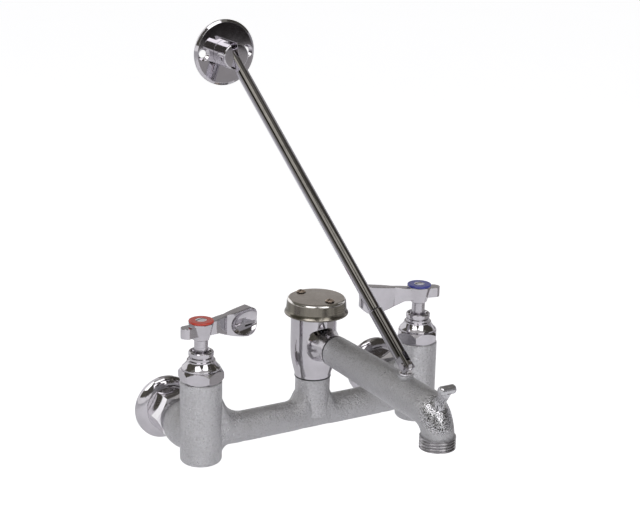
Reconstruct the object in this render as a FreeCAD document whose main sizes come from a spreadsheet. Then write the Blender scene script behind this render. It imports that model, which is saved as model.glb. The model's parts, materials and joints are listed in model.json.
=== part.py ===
"""Wall-mounted service sink faucet with a vacuum breaker, a hose outlet and a top wall brace.

The frame: +Z up, the wall is the plane Y = 0 and the user stands at -Y. The origin is on the wall,
midway between the two inlets. Hot is at -X and cold at +X. All lengths are millimetres.
"""
import FreeCAD
import Part

import math
import os

import Sketcher

Vector = FreeCAD.Vector
Rotation = FreeCAD.Rotation
Placement = FreeCAD.Placement

# Driving dimensions
SIZES = {
    # body casting
    "valve_centres": 203.2,
    "valve_reach": 70.0,
    "bar_dia": 25.0,
    "bar_bore": 15.0,
    "column_dia": 33.5,
    "column_drop": 22.5,
    "column_height": 46.0,
    "column_edge": 3.5,
    "column_lip": 0.8,
    "column_flare": 22.0,
    "column_under_flare": 6.0,
    "flare_root_width": 21.5,
    "flare_root_depth": 9.2,
    "flare_root_rise": 20.5,
    "flare_root_drop": 5.4,
    "hub_dia": 28.5,
    "hub_height": 32.5,
    "hub_flare": 8.0,
    "hub_flare_peak": 7.2,
    "hub_bore": 19.0,
    "tail_dia": 25.8,
    "tail_shoulder_dia": 39.0,
    "tail_shoulder_back": 22.4,
    "tail_shoulder_length": 11.5,
    "tail_shoulder_fillet": 16.0,
    "tail_root_dia": 24.0,
    "tail_bore": 15.0,
    "tail_bore_stop": 14.0,
    "tail_flange_dia": 28.2,
    "tail_flange_thick": 2.7,
    "feed_dia": 9.0,
    "feed_drop": 6.0,
    "well_dia": 10.0,
    "well_drop": 16.0,
    # wall couplings
    "adapter_dia": 52.8,
    "adapter_edge": 3.0,
    "adapter_rim": 5.5,
    "adapter_length": 9.8,
    "adapter_shoulder_dia": 37.0,
    "adapter_dome": 13.0,
    "inlet_thread_dia": 19.8,
    "inlet_thread_length": 13.0,
    "inlet_thread_run": 1.0,
    "union_thread_dia": 28.8,
    "union_thread_length": 10.2,
    "union_flats": 32.5,
    "union_length": 19.2,
    "union_lip": 3.2,
    "union_front_chamfer": 2.7,
    "union_back_chamfer": 1.0,
    "union_lip_gap": 0.25,
    "washer_thick": 1.6,
    # cartridges
    "seat_height": 2.0,
    "chamber_dia": 23.0,
    "chamber_height": 14.0,
    "cartridge_dia": 20.0,
    "cartridge_top": 32.0,
    "seal_thick": 1.2,
    "seal_bore": 12.0,
    "disc_dia": 17.4,
    "disc_thick": 3.0,
    "port_dia": 4.4,
    "port_circle": 9.4,
    "window_height": 5.0,
    # bonnets
    "mouth_dia": 24.0,
    "bonnet_flats": 31.8,
    "bonnet_hex_height": 9.6,
    "bonnet_chamfer": 2.5,
    "hot_bonnet_turn": 24.0,
    "cold_bonnet_turn": 53.6,
    "bonnet_band_dia": 31.0,
    "bonnet_band_height": 1.6,
    "bonnet_band_edge": 0.6,
    "bonnet_band_draw": 0.2,
    "bonnet_cone_height": 5.2,
    "bonnet_cone_dia": 22.6,
    "bonnet_cone_arc": 14.0,
    "bonnet_lip_height": 0.8,
    "bonnet_lip_drop": 0.4,
    "bonnet_neck_dia": 19.6,
    "bonnet_neck_height": 3.0,
    "packing_dia": 20.2,
    "packing_height": 5.0,
    "packing_recess": 2.2,
    "packing_foot_height": 1.4,
    "packing_foot_step": 1.6,
    "packing_foot_slope": 0.5,
    "packing_edge": 0.7,
    "packing_rim": 1.8,
    "packing_dish_slope": 0.9,
    "stem_dia": 11.0,
    "stem_foot_dia": 16.2,
    "stem_foot_height": 2.4,
    "stem_foot_slope": 0.8,
    "stem_groove": 1.3,
    "stem_groove_rise": 4.0,
    # levers
    "lever_base": 80.4,
    "lever_hub_height": 13.6,
    "lever_hub_top_dia": 18.8,
    "lever_hub_foot_dia": 12.8,
    "lever_reach": 55.0,
    "lever_tip_top": 98.4,
    "lever_tip_foot": 74.6,
    "lever_root_drop": 0.3,
    "lever_root_foot": 83.0,
    "lever_root_thick": 7.0,
    "lever_tip_thick": 8.4,
    "lever_waist_thick": 5.4,
    "lever_root_length": 7.7,
    "lever_waist_reach": 23.1,
    "lever_under_reach": 14.9,
    "lever_heel_reach": 42.9,
    "lever_toe_reach": 45.6,
    "lever_cheek_reach": 44.0,
    "lever_end_reach": 53.3,
    "lever_end_thick": 4.6,
    "lever_under_arc": 90.0,
    "lever_tip_arc": 12.9,
    "lever_waist_arc": 60.0,
    "lever_cheek_arc": 90.0,
    "lever_end_arc": 14.0,
    "scoop_depth": 4.6,
    "scoop_reach": 41.5,
    "scoop_length": 29.7,
    "scoop_margin": 1.6,
    "scoop_offset": 0.4,
    "socket_depth": 0.4,
    "socket_relief": 1.0,
    "stub_reach": 18.7,
    "stub_nose": 4.0,
    "stub_nose_arc": 5.75,
    "stub_root_thick": 9.0,
    "stub_thick": 10.0,
    "stub_top": 92.4,
    "stub_foot": 84.2,
    "lever_yaw": 9.5,
    "index_dia": 20.0,
    "index_thick": 2.0,
    "index_edge": 0.6,
    "index_screw_dia": 8.6,
    "index_screw_crown": 0.9,
    "index_slot_width": 1.2,
    "index_slot_depth": 1.2,
    "spline_dia": 8.0,
    "spline_height": 8.0,
    # vacuum breaker
    "breaker_base_dia": 29.5,
    "breaker_base_band": 2.5,
    "breaker_base_draw": 0.4,
    "breaker_swell_height": 24.0,
    "breaker_swell_arc": 75.0,
    "breaker_dia": 37.2,
    "breaker_height": 56.0,
    "breaker_bore": 29.0,
    "breaker_inlet_bore": 14.0,
    "breaker_seat_height": 15.0,
    "breaker_seat_width": 4.0,
    "breaker_seat_slope": 6.0,
    "breaker_seat_edge": 1.0,
    "breaker_spigot": 8.0,
    "ring_thick": 1.0,
    "ring_relief": 0.4,
    "outlet_height": 64.3,
    "neck_reach": 34.5,
    "neck_dia": 24.8,
    "neck_flare_dia": 30.4,
    "neck_flare_reach": 16.0,
    "neck_flare_arc": 26.0,
    "neck_band": 2.4,
    "water_bore": 18.0,
    "float_dia": 21.0,
    "float_thick": 3.0,
    "float_taper": 2.5,
    "float_pad_dia": 18.1,
    "float_washer_dia": 18.9,
    "float_washer_thick": 1.6,
    "float_washer_bore": 3.0,
    "float_tip": 3.0,
    "float_stem_dia": 5.0,
    "float_travel": 4.0,
    "vent_dia": 4.4,
    "vent_margin": 1.2,
    "guide_height": 44.0,
    "guide_thick": 3.0,
    "cap_dia": 51.7,
    "cap_top_dia": 47.8,
    "cap_height": 13.0,
    "cap_base": 86.5,
    "cap_wall": 2.0,
    "cap_edge": 2.4,
    "cap_rim_edge": 0.4,
    "cap_rim_height": 1.2,
    "cap_flare_height": 4.2,
    "cap_flare_arc": 9.0,
    "cap_flare_step": 0.5,
    "cap_shift_x": 1.6,
    "cap_shift_y": 0.9,
    "cap_screw_shift_x": 0.7,
    "cap_screw_shift_y": 0.4,
    "cap_screw_spacing": 32.4,
    "cap_screw_angle": 15.0,
    "cap_screw_head": 7.6,
    "cap_screw_rise": 1.9,
    "cap_screw_dia": 3.8,
    "cap_screw_length": 8.0,
    "cap_screw_edge": 0.4,
    "cap_slot_width": 1.1,
    "cap_slot_turn": 40.0,
    "cap_crown": 0.5,
    "post_dia": 7.0,
    "post_stand": 1.5,
    "post_root": 2.0,
    # spout
    "spout_reach": 180.0,
    "spout_root_dia": 25.4,
    "spout_root_edge": 0.8,
    "spout_dia": 27.6,
    "elbow_bend": 18.0,
    "outlet_drop": 25.8,
    "hose_thread_dia": 27.0,
    "hose_thread_length": 9.0,
    "hose_neck_dia": 24.4,
    "hook_rise": 21.5,
    "hook_stand": 8.9,
    "hook_bar_dia": 7.2,
    "hook_bar_length": 13.6,
    "hook_neck_dia": 8.2,
    "hook_root_dia": 12.5,
    "hook_root_depth": 5.5,
    "hook_root_rise": 5.5,
    "hook_root_arc": 9.0,
    "hook_bar_edge": 2.0,
    # wall brace
    "brace_foot_back": 44.5,
    "brace_foot_rise": 22.2,
    "brace_side": 47.0,
    "brace_height": 290.0,
    "brace_pin_dia": 4.0,
    "brace_pin_head": 5.8,
    "brace_pin_head_thick": 1.0,
    "brace_pin_edge": 0.4,
    "upper_pin_stand": 0.5,
    "boss_dia": 12.0,
    "boss_height": 15.3,
    "eye_dia": 9.2,
    "eye_thick": 4.0,
    "eye_collar_dia": 10.0,
    "eye_collar_thick": 1.2,
    "eye_stalk_width": 7.4,
    "eye_stalk_sink": 0.4,
    "eye_shank_dia": 6.0,
    "eye_shank_length": 5.2,
    "sleeve_dia": 10.8,
    "sleeve_length": 48.0,
    "sleeve_fork": 9.5,
    "sleeve_mill": 7.1,
    "sleeve_edge": 0.6,
    "sleeve_drill_point": 1.5,
    "ear_dia": 10.0,
    "ear_flat": 8.6,
    "rod_dia": 9.5,
    "rod_stub_dia": 6.0,
    "rod_stub_length": 32.0,
    "rod_edge": 0.4,
    "rod_tongue_length": 15.5,
    "rod_tongue_thick": 4.8,
    "turret_dia": 21.3,
    "turret_length": 18.5,
    "turret_slot_depth": 13.0,
    "turret_edge": 1.0,
    "turret_pin_back": 6.3,
    "turret_stud_dia": 8.0,
    "turret_rivet_dia": 12.0,
    "turret_rivet_thick": 1.2,
    "flange_dia": 52.5,
    "flange_thick": 3.0,
    "flange_edge": 1.2,
    "flange_bevel": 1.9,
    "flange_hole_land": 1.05,
    "flange_hole_dia": 6.4,
    "flange_hole_spacing": 38.1,
    # clearances
    "overcut": 1.0,
    "seat_gap": 0.3,
    "press_gap": 0.05,
    "running_gap": 0.1,
    "pin_gap": 0.05,
}


class Size:
    """A length that keeps the expression which ties it to the sheet beside its value."""

    def __init__(self, value, text):
        self.value = value
        self.text = text

    def _join(self, other, sign, value):
        return Size(value, "({} {} {})".format(self.text, sign, other.text))

    def __add__(self, other):
        other = as_size(other)
        return self._join(other, "+", self.value + other.value)

    def __radd__(self, other):
        return as_size(other) + self

    def __sub__(self, other):
        other = as_size(other)
        return self._join(other, "-", self.value - other.value)

    def __rsub__(self, other):
        return as_size(other) - self

    def __mul__(self, other):
        other = as_size(other)
        return self._join(other, "*", self.value * other.value)

    def __rmul__(self, other):
        return as_size(other) * self

    def __truediv__(self, other):
        other = as_size(other)
        return self._join(other, "/", self.value / other.value)

    def __neg__(self):
        return as_size(0.0) - self


def as_size(number):
    if isinstance(number, Size):
        return number
    return Size(float(number), "({:.9g})".format(number))


def root(size):
    return Size(math.sqrt(size.value), "sqrt({})".format(size.text))


def size(name):
    return Size(SIZES[name], "Sizes." + name)


# The document and its sheet
doc = FreeCAD.newDocument("service_sink_faucet")
sheet = doc.addObject("Spreadsheet::Sheet", "Sizes")
for row, (alias, number) in enumerate(SIZES.items(), start=1):
    sheet.set("A{}".format(row), alias)
    sheet.set("B{}".format(row), str(number))
    sheet.setAlias("B{}".format(row), alias)
doc.recompute()

nodes = []
made = {}


def name_for(base):
    """Object names count up, so that helpers may be called again and again."""
    made[base] = made.get(base, 0) + 1
    return "{}_{:03d}".format(base, made[base])


def bind(feature, **sizes):
    """Set properties of a feature and tie each one to the sheet."""
    for prop, amount in sizes.items():
        amount = as_size(amount)
        setattr(feature, prop, amount.value)
        feature.setExpression(prop, amount.text)
    return feature


def lay(feature, x=0, y=0, z=0, turn=None):
    """Place a feature; its base point stays tied to the sheet."""
    place = [as_size(x), as_size(y), as_size(z)]
    feature.Placement = Placement(Vector(*[p.value for p in place]), turn or Rotation())
    for axis, amount in zip("xyz", place):
        feature.setExpression(".Placement.Base." + axis, amount.text)
    return feature


def node(feature, label):
    """Name a finished sub-part, which is then written to its own file."""
    feature.Label = label
    nodes.append(feature)
    return feature


# Turns that take a piece built along +Z to another axis
ALONG_X = Rotation(Vector(0, 1, 0), 90)
ALONG_Y = Rotation(Vector(1, 0, 0), -90)
TOWARD_USER = Rotation(Vector(1, 0, 0), 90)


# Sketches and the features made from them
def origin_plane(body, role):
    return next(item for item in body.Origin.OriginFeatures if item.Role == role)


def new_body(base="Piece"):
    return doc.addObject("PartDesign::Body", name_for(base))


def arc_between(start, end, radius):
    """The arc from start to end; a positive radius turns left, and the arc is under a half circle."""
    chord = end - start
    half = chord.Length / 2
    reach = math.sqrt(max(radius * radius - half * half, 0.0))
    left = Vector(-chord.y, chord.x, 0)
    left.normalize()
    centre = start + chord * 0.5 + left * (reach if radius > 0 else -reach)
    first, last = (start, end) if radius > 0 else (end, start)
    circle = Part.Circle(centre, Vector(0, 0, 1), abs(radius))
    return Part.ArcOfCircle(circle, circle.parameter(first), circle.parameter(last))


def outline(body, role, points, offset=0):
    """A closed sketch. A point is (x, y), or (x, y, radius) when an arc leads to it."""
    sketch = body.newObject("Sketcher::SketchObject", name_for("Sketch"))
    sketch.AttachmentSupport = [(origin_plane(body, role), "")]
    sketch.MapMode = "FlatFace"
    offset = as_size(offset)
    sketch.AttachmentOffset = Placement(Vector(0, 0, offset.value), Rotation())
    sketch.setExpression(".AttachmentOffset.Base.z", offset.text)
    count = len(points)
    corners = [Vector(as_size(p[0]).value, as_size(p[1]).value, 0) for p in points]
    ends = []
    for index in range(count):
        follower = (index + 1) % count
        start, end = corners[index], corners[follower]
        if len(points[follower]) == 3:
            radius = as_size(points[follower][2])
            edge = sketch.addGeometry(arc_between(start, end, radius.value), False)
            ends.append((1, 2) if radius.value > 0 else (2, 1))
            sketch.addConstraint(Sketcher.Constraint("Radius", edge, abs(radius.value)))
            text = radius.text if radius.value > 0 else "-1 * " + radius.text
            sketch.setExpression("Constraints[{}]".format(sketch.ConstraintCount - 1), text)
        else:
            sketch.addGeometry(Part.LineSegment(start, end), False)
            ends.append((1, 2))
    for index in range(count):
        follower = (index + 1) % count
        sketch.addConstraint(
            Sketcher.Constraint("Coincident", index, ends[index][1], follower, ends[follower][0]))
    for index, point in enumerate(points):
        for kind, amount, axis in (("DistanceX", point[0], -2), ("DistanceY", point[1], -1)):
            amount = as_size(amount)
            if amount.value == 0:
                sketch.addConstraint(
                    Sketcher.Constraint("PointOnObject", index, ends[index][0], axis))
                continue
            sketch.addConstraint(
                Sketcher.Constraint(kind, -1, 1, index, ends[index][0], amount.value))
            sketch.setExpression("Constraints[{}]".format(sketch.ConstraintCount - 1), amount.text)
    return sketch


def revolve(body, points):
    """Turn a half section, given as (radius, height), about the body's Z axis."""
    sketch = outline(body, "XZ_Plane", points)
    feature = body.newObject("PartDesign::Revolution", name_for("Revolution"))
    feature.Profile = sketch
    feature.ReferenceAxis = (sketch, ["V_Axis"])
    feature.Angle = 360.0
    return body


def lathe(points, base="Turned"):
    return revolve(new_body(base), points)


def pad(body, role, points, length, offset=0, middle=False):
    feature = body.newObject("PartDesign::Pad", name_for("Pad"))
    feature.Profile = outline(body, role, points, offset)
    bind(feature, Length=length)
    feature.Midplane = middle
    return feature


def ring_of_corners(across_flats, sides, turn=0.0):
    """The corners of a regular polygon that measures across_flats between opposite sides."""
    reach = across_flats / (2 * math.cos(math.pi / sides))
    corners = []
    for index in range(sides):
        angle = math.radians(turn) + 2 * math.pi * index / sides
        corners.append((reach * math.cos(angle), reach * math.sin(angle)))
    return corners


# Primitives and booleans
def cylinder(diameter, height, x=0, y=0, z=0, turn=None):
    feature = doc.addObject("Part::Cylinder", name_for("Cylinder"))
    bind(feature, Radius=as_size(diameter) / 2, Height=height)
    return lay(feature, x, y, z, turn)


def block(length, width, height, x=0, y=0, z=0):
    """A box that is centred on x and y and stands on z."""
    feature = doc.addObject("Part::Box", name_for("Box"))
    length, width = as_size(length), as_size(width)
    bind(feature, Length=length, Width=width, Height=height)
    return lay(feature, x - length / 2, y - width / 2, z)


def fuse(*pieces):
    feature = doc.addObject("Part::MultiFuse", name_for("Fuse"))
    feature.Shapes = list(pieces)
    return feature


def cut(base, *tools):
    feature = doc.addObject("Part::Cut", name_for("Cut"))
    feature.Base = base
    feature.Tool = tools[0] if len(tools) == 1 else fuse(*tools)
    return feature


def common(*pieces):
    feature = doc.addObject("Part::MultiCommon", name_for("Common"))
    feature.Shapes = list(pieces)
    return feature


def flats(piece, across, reach, base, height, sides=6, turn=0.0):
    """Mill flats round a turned piece, from base up to base + height."""
    stock = cylinder(reach, height, z=base)
    prism = doc.addObject("Part::Prism", name_for("Prism"))
    prism.Polygon = sides
    bind(prism, Circumradius=as_size(across) / (2 * math.cos(math.pi / sides)), Height=height)
    lay(prism, z=base, turn=Rotation(Vector(0, 0, 1), turn))
    return cut(piece, cut(stock, prism))


def hex_corner(across):
    """The reach of a hexagon's corners, for its width across the flats."""
    return as_size(across) / (2 * math.cos(math.pi / 6))


def oval(half_width, top, foot, x):
    """An upright oval section across the bar, from foot up to top."""
    feature = doc.addObject("Part::Ellipse", name_for("Ellipse"))
    bind(feature, MajorRadius=(as_size(top) - foot) / 2, MinorRadius=half_width)
    return lay(feature, x=x, z=(as_size(top) + foot) / 2, turn=Rotation(Vector(0, 1, 0), -90))


def loft(sections):
    feature = doc.addObject("Part::Loft", name_for("Loft"))
    feature.Sections = sections
    feature.Solid = True
    feature.Ruled = False
    return feature


def placed(feature, placement):
    feature.Placement = placement
    return feature


# Shared places
half_centres = size("valve_centres") / 2
valve_y = -size("valve_reach")
bar_r = size("bar_dia") / 2
column_r = size("column_dia") / 2
column_top = size("column_height")
overcut = size("overcut")
SIDES = (("hot", -1), ("cold", 1))


# Body casting
# Where the sections of a flare stand, as shares of its reach
COLUMN_FLARE_STEPS = (0.05, 0.22, 0.45, 0.72)
HUB_FLARE_STEPS = (1.0, 0.62, 0.28, 0.06)


def flare_rise(distance, wall, radius):
    """Height of a fillet of this radius above the bar, at a distance from the wall's own axis."""
    run = wall + radius - distance
    return radius - root(radius * radius - run * run)


def column_flare(side):
    """The smooth swelling of the bar where it runs into a column."""
    upper, under = size("column_flare"), size("column_under_flare")
    sections = [oval(size("flare_root_width") / 2, bar_r + size("flare_root_rise"),
                     -bar_r - size("flare_root_drop"),
                     side * (half_centres - column_r + size("flare_root_depth")))]
    for share in COLUMN_FLARE_STEPS:
        distance = column_r + upper * share
        foot = -bar_r
        if upper.value * share < under.value:
            foot = foot - flare_rise(distance, column_r, under)
        top = bar_r + flare_rise(distance, column_r, upper)
        sections.append(oval(bar_r, top, foot, side * (half_centres - distance)))
    sections.append(oval(bar_r, bar_r, -bar_r, side * (half_centres - column_r - upper)))
    return loft(sections)


def hub_swell():
    """The middle of the bar, swollen up into the hub that carries the vacuum breaker."""
    hub_r, flare = size("hub_dia") / 2, size("hub_flare")
    ends = []
    for share in HUB_FLARE_STEPS:
        distance = hub_r + flare * share
        rise = flare_rise(distance, hub_r, flare) if share < 1 else as_size(0)
        ends.append((distance, bar_r + rise))
    left = [oval(bar_r, top, -bar_r, -distance) for distance, top in ends]
    right = [oval(bar_r, top, -bar_r, distance) for distance, top in reversed(ends)]
    middle = [oval(bar_r, bar_r + size("hub_flare_peak"), -bar_r, 0)]
    return loft(left + middle + right)


def column(side):
    edge, lip = size("column_edge"), size("column_lip")
    blank = lathe([
        (0, -size("column_drop")),
        (column_r - edge, -size("column_drop")),
        (column_r, edge - size("column_drop"), edge),
        (column_r, column_top - lip),
        (column_r - lip, column_top),
        (0, column_top),
    ])
    return lay(blank, x=side * half_centres, y=valve_y)


def tail_end():
    """How far the casting's tail stops short of the wall."""
    return size("adapter_length") + size("union_thread_length") + size("washer_thick")


def tail(side):
    """The rear boss, turned about Y, with the flange that the union nut draws in."""
    reach = size("valve_reach") - tail_end()
    flange_r = size("tail_flange_dia") / 2
    tail_r = size("tail_dia") / 2
    shoulder_r = size("tail_shoulder_dia") / 2
    shoulder = reach - size("tail_shoulder_back")
    blank = lathe([
        (0, 0),
        (size("tail_root_dia") / 2, 0),
        (shoulder_r, shoulder - size("tail_shoulder_length") / 2),
        (shoulder_r, shoulder),
        (tail_r, shoulder + size("tail_shoulder_length"), size("tail_shoulder_fillet")),
        (tail_r, reach - size("tail_flange_thick")),
        (flange_r, reach - size("tail_flange_thick")),
        (flange_r, reach),
        (0, reach),
    ])
    return lay(blank, x=side * half_centres, y=valve_y, turn=ALONG_Y)


def valve_bore(side):
    """Seat, chamber, cartridge bore and threaded mouth of one column, as one cutter."""
    seat = size("seat_height")
    chamber_r = size("chamber_dia") / 2
    barrel_r = size("cartridge_dia") / 2 + size("press_gap")
    mouth_r = size("mouth_dia") / 2
    chamber_top = seat + size("chamber_height")
    cutter = lathe([
        (0, -size("well_drop")),
        (size("well_dia") / 2, -size("well_drop")),
        (size("well_dia") / 2, seat),
        (chamber_r, seat),
        (chamber_r, chamber_top),
        (barrel_r, chamber_top),
        (barrel_r, size("cartridge_top")),
        (mouth_r, size("cartridge_top")),
        (mouth_r, column_top + overcut),
        (0, column_top + overcut),
    ], "Bore")
    return lay(cutter, x=side * half_centres, y=valve_y)


def body_casting():
    stretch = half_centres - column_r - size("column_flare")
    hub_edge = size("hub_dia") / 2 + size("hub_flare")
    solids = [
        cylinder(size("bar_dia"), stretch - hub_edge, x=hub_edge, turn=ALONG_X),
        cylinder(size("bar_dia"), stretch - hub_edge, x=-stretch, turn=ALONG_X),
        hub_swell(),
        cylinder(size("hub_dia"), size("hub_height")),
    ]
    bar = fuse(*(solids + [column_flare(side) for _, side in SIDES]))
    lay(bar, y=valve_y)
    stock = [bar]
    channel = half_centres - size("chamber_dia") / 2 + overcut
    hollows = [
        cylinder(size("bar_bore"), 2 * channel, x=-channel, y=valve_y, turn=ALONG_X),
        cylinder(size("hub_bore"), size("hub_height") + overcut, y=valve_y),
    ]
    for _, side in SIDES:
        stock += [column(side), tail(side)]
        x = side * half_centres
        stop = valve_y + size("tail_bore_stop")
        hollows += [
            valve_bore(side),
            cylinder(size("tail_bore"), -stop, x=x, y=stop, turn=ALONG_Y),
            cylinder(size("feed_dia"), size("tail_bore_stop") + overcut, x=x, y=valve_y,
                     z=-size("feed_drop"), turn=ALONG_Y),
        ]
    node(cut(fuse(*stock), *hollows), "body_casting")


# Wall couplings
def adapter(label, side):
    """The domed wall fitting: female pipe thread at the wall, male thread for the union nut."""
    rim_r = size("adapter_dia") / 2
    rim, length = size("adapter_rim"), size("adapter_length")
    shoulder_r = size("adapter_shoulder_dia") / 2
    thread_r = size("union_thread_dia") / 2
    tip = length + size("union_thread_length")
    bore_r = size("tail_bore") / 2
    inlet_r = size("inlet_thread_dia") / 2
    inlet = size("inlet_thread_length")
    edge = size("adapter_edge")
    blank = lathe([
        (inlet_r, 0),
        (rim_r - edge, 0),
        (rim_r, edge, edge),
        (rim_r, rim),
        (shoulder_r, length, size("adapter_dome")),
        (thread_r, length),
        (thread_r, tip),
        (bore_r, tip),
        (bore_r, inlet + size("inlet_thread_run")),
        (inlet_r, inlet),
    ])
    node(lay(blank, x=side * half_centres, turn=TOWARD_USER), label)


def union_nut(label, side):
    """The hex nut that draws the casting's tail flange against the adapter."""
    start = size("adapter_length") + size("seat_gap")
    end = start + size("union_length")
    corner_r = hex_corner(size("union_flats"))
    front, back = size("union_front_chamfer"), size("union_back_chamfer")
    thread_r = size("union_thread_dia") / 2 + size("press_gap")
    lip_r = size("tail_dia") / 2 + size("union_lip_gap")
    blank = lathe([
        (thread_r, start),
        (corner_r - back, start),
        (corner_r, start + back / 2),
        (corner_r, end - front / 2),
        (corner_r - front, end),
        (lip_r, end),
        (lip_r, end - size("union_lip")),
        (thread_r, end - size("union_lip")),
    ])
    piece = flats(blank, size("union_flats"), 2 * (corner_r + overcut), start,
                  size("union_length"))
    node(lay(piece, x=side * half_centres, turn=TOWARD_USER), label)


def washer(label, outer, inner, thick, x=0, y=0, z=0, turn=None):
    piece = lathe([
        (as_size(inner) / 2, 0),
        (as_size(outer) / 2, 0),
        (as_size(outer) / 2, thick),
        (as_size(inner) / 2, thick),
    ])
    node(lay(piece, x, y, z, turn), label)


# Cartridge, bonnet and packing nut of one valve
def seal_top():
    return size("seat_height") + size("seal_thick")


def fixed_disc_top():
    return seal_top() + size("disc_thick")


def moving_disc_top():
    return fixed_disc_top() + size("running_gap") + size("disc_thick")


def stem_foot():
    return moving_disc_top()


def port_cutters(base, height, angles, x, y):
    """Round ports on a circle, cut through a disc that stands at base."""
    cutters = []
    for angle in angles:
        reach = size("port_circle") / 2
        cutters.append(cylinder(
            size("port_dia"), height + 2 * overcut,
            x=x + reach * math.cos(math.radians(angle)),
            y=y + reach * math.sin(math.radians(angle)), z=base - overcut))
    return cutters


def disc(label, base, angles, x):
    blank = cylinder(size("disc_dia"), size("disc_thick"), x=x, y=valve_y, z=base)
    node(cut(blank, *port_cutters(base, size("disc_thick"), angles, x, valve_y)), label)


def cartridge(label, x):
    """The barrel that holds both discs and guides the stem, with two side windows for the water."""
    outer_r = size("cartridge_dia") / 2
    disc_r = size("disc_dia") / 2 + size("running_gap")
    stem_r = size("stem_dia") / 2 + size("running_gap")
    foot = seal_top()
    roof = stem_foot() + size("window_height")
    blank = lathe([
        (disc_r, foot),
        (outer_r, foot),
        (outer_r, size("cartridge_top") - size("seat_gap")),
        (stem_r, size("cartridge_top") - size("seat_gap")),
        (stem_r, roof),
        (disc_r, roof),
    ])
    window = block(size("cartridge_dia") + 2 * overcut, size("port_circle"),
                   size("window_height") - overcut, z=stem_foot())
    node(lay(cut(blank, window), x=x, y=valve_y), label)


def bonnet(label, x, turn):
    """Hex, band, cone and neck of the bonnet, with the threaded skirt inside the column."""
    bore_r = size("stem_dia") / 2 + size("running_gap")
    skirt_r = size("mouth_dia") / 2 - size("press_gap")
    hex_foot = column_top + size("seat_gap")
    hex_top = hex_foot + size("bonnet_hex_height")
    corner_r = hex_corner(size("bonnet_flats"))
    chamfer = size("bonnet_chamfer")
    band_r, band_edge = size("bonnet_band_dia") / 2, size("bonnet_band_edge")
    band_top = hex_top + size("bonnet_band_height")
    cone_top = band_top + size("bonnet_cone_height")
    cone_r = size("bonnet_cone_dia") / 2
    neck_r = size("bonnet_neck_dia") / 2
    lip_top = cone_top + size("bonnet_lip_height")
    neck_top = cone_top + size("bonnet_neck_height")
    blank = lathe([
        (bore_r, size("cartridge_top")),
        (skirt_r, size("cartridge_top")),
        (skirt_r, hex_foot),
        (corner_r - chamfer, hex_foot),
        (corner_r, hex_foot + chamfer),
        (corner_r, hex_top - chamfer),
        (corner_r - chamfer, hex_top),
        (band_r - band_edge, hex_top),
        (band_r, hex_top + band_edge),
        (band_r - size("bonnet_band_draw"), band_top),
        (cone_r, cone_top, -size("bonnet_cone_arc")),
        (cone_r, lip_top),
        (neck_r, lip_top + size("bonnet_lip_drop")),
        (neck_r, neck_top),
        (bore_r, neck_top),
    ])
    piece = flats(blank, size("bonnet_flats"), 2 * (corner_r + overcut), hex_foot,
                  size("bonnet_hex_height"), turn=turn)
    node(lay(piece, x=x, y=valve_y), label)
    return neck_top


def packing_nut(label, x, base):
    """The round nut over the neck, dished at the top round the stem."""
    outer_r = size("packing_dia") / 2
    bore_r = size("stem_dia") / 2 + size("running_gap")
    foot_r = outer_r - size("packing_foot_step")
    foot_top = base + size("packing_foot_height")
    dish_r = outer_r - size("packing_rim")
    edge = size("packing_edge")
    top = base + size("packing_height")
    blank = lathe([
        (bore_r, base),
        (foot_r, base),
        (foot_r, foot_top),
        (outer_r, foot_top + size("packing_foot_slope")),
        (outer_r, top - edge),
        (outer_r - edge, top),
        (dish_r, top),
        (dish_r - size("packing_dish_slope"), top - size("packing_recess")),
        (bore_r, top - size("packing_recess")),
    ])
    node(lay(blank, x=x, y=valve_y), label)


# Stem and lever of one valve
def lever_top():
    return size("lever_base") + size("lever_hub_height")


def lever_seat():
    """The stem's shoulder, just under the floor of the lever's relief."""
    return size("lever_base") + size("socket_relief") - size("socket_depth")


def stem(label, x):
    """The spindle: a foot that drives the moving disc, the barrel and the spline for the lever."""
    foot = stem_foot()
    foot_r = size("stem_foot_dia") / 2
    foot_top = foot + size("stem_foot_height")
    stem_r = size("stem_dia") / 2
    spline_r = size("spline_dia") / 2
    groove_r = stem_r - size("stem_groove")
    groove_foot = column_top + size("stem_groove_rise")
    groove_width = size("stem_groove") * 2 + 2 * size("running_gap")
    shoulder = lever_seat()
    blank = lathe([
        (0, foot),
        (foot_r, foot),
        (foot_r, foot_top),
        (stem_r, foot_top + size("stem_foot_slope")),
        (stem_r, groove_foot),
        (groove_r, groove_foot),
        (groove_r, groove_foot + groove_width),
        (stem_r, groove_foot + groove_width),
        (stem_r, shoulder),
        (spline_r, shoulder),
        (spline_r, size("lever_base") + size("spline_height")),
        (0, size("lever_base") + size("spline_height")),
    ])
    node(lay(blank, x=x, y=valve_y), label)


def stem_ring(label, x):
    """The rubber ring in the stem's groove."""
    section = size("stem_groove")
    ring = doc.addObject("Part::Torus", name_for("Torus"))
    bind(ring, Radius1=size("stem_dia") / 2 - section / 2 + size("press_gap"),
         Radius2=section / 2)
    middle = column_top + size("stem_groove_rise") + section + size("running_gap")
    node(lay(ring, x=x, y=valve_y, z=middle), label)


def lever_blade(body):
    """The side outline of the blade: it widens from the hub to a round paddle."""
    reach, top, foot = size("lever_reach"), size("lever_tip_top"), size("lever_tip_foot")
    arc, drop = size("lever_tip_arc"), size("lever_root_drop")
    points = [
        (0, size("lever_root_foot")),
        (size("lever_under_reach"), size("lever_root_foot") - drop),
        (size("lever_heel_reach"), foot, size("lever_under_arc")),
        (reach, (top + foot) / 2, arc),
        (size("lever_toe_reach"), top, arc),
        (size("index_dia") / 2, lever_top() - drop),
        (0, lever_top() - drop),
    ]
    return pad(body, "XZ_Plane", points, size("lever_tip_thick") + 2 * overcut, middle=True)


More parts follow.
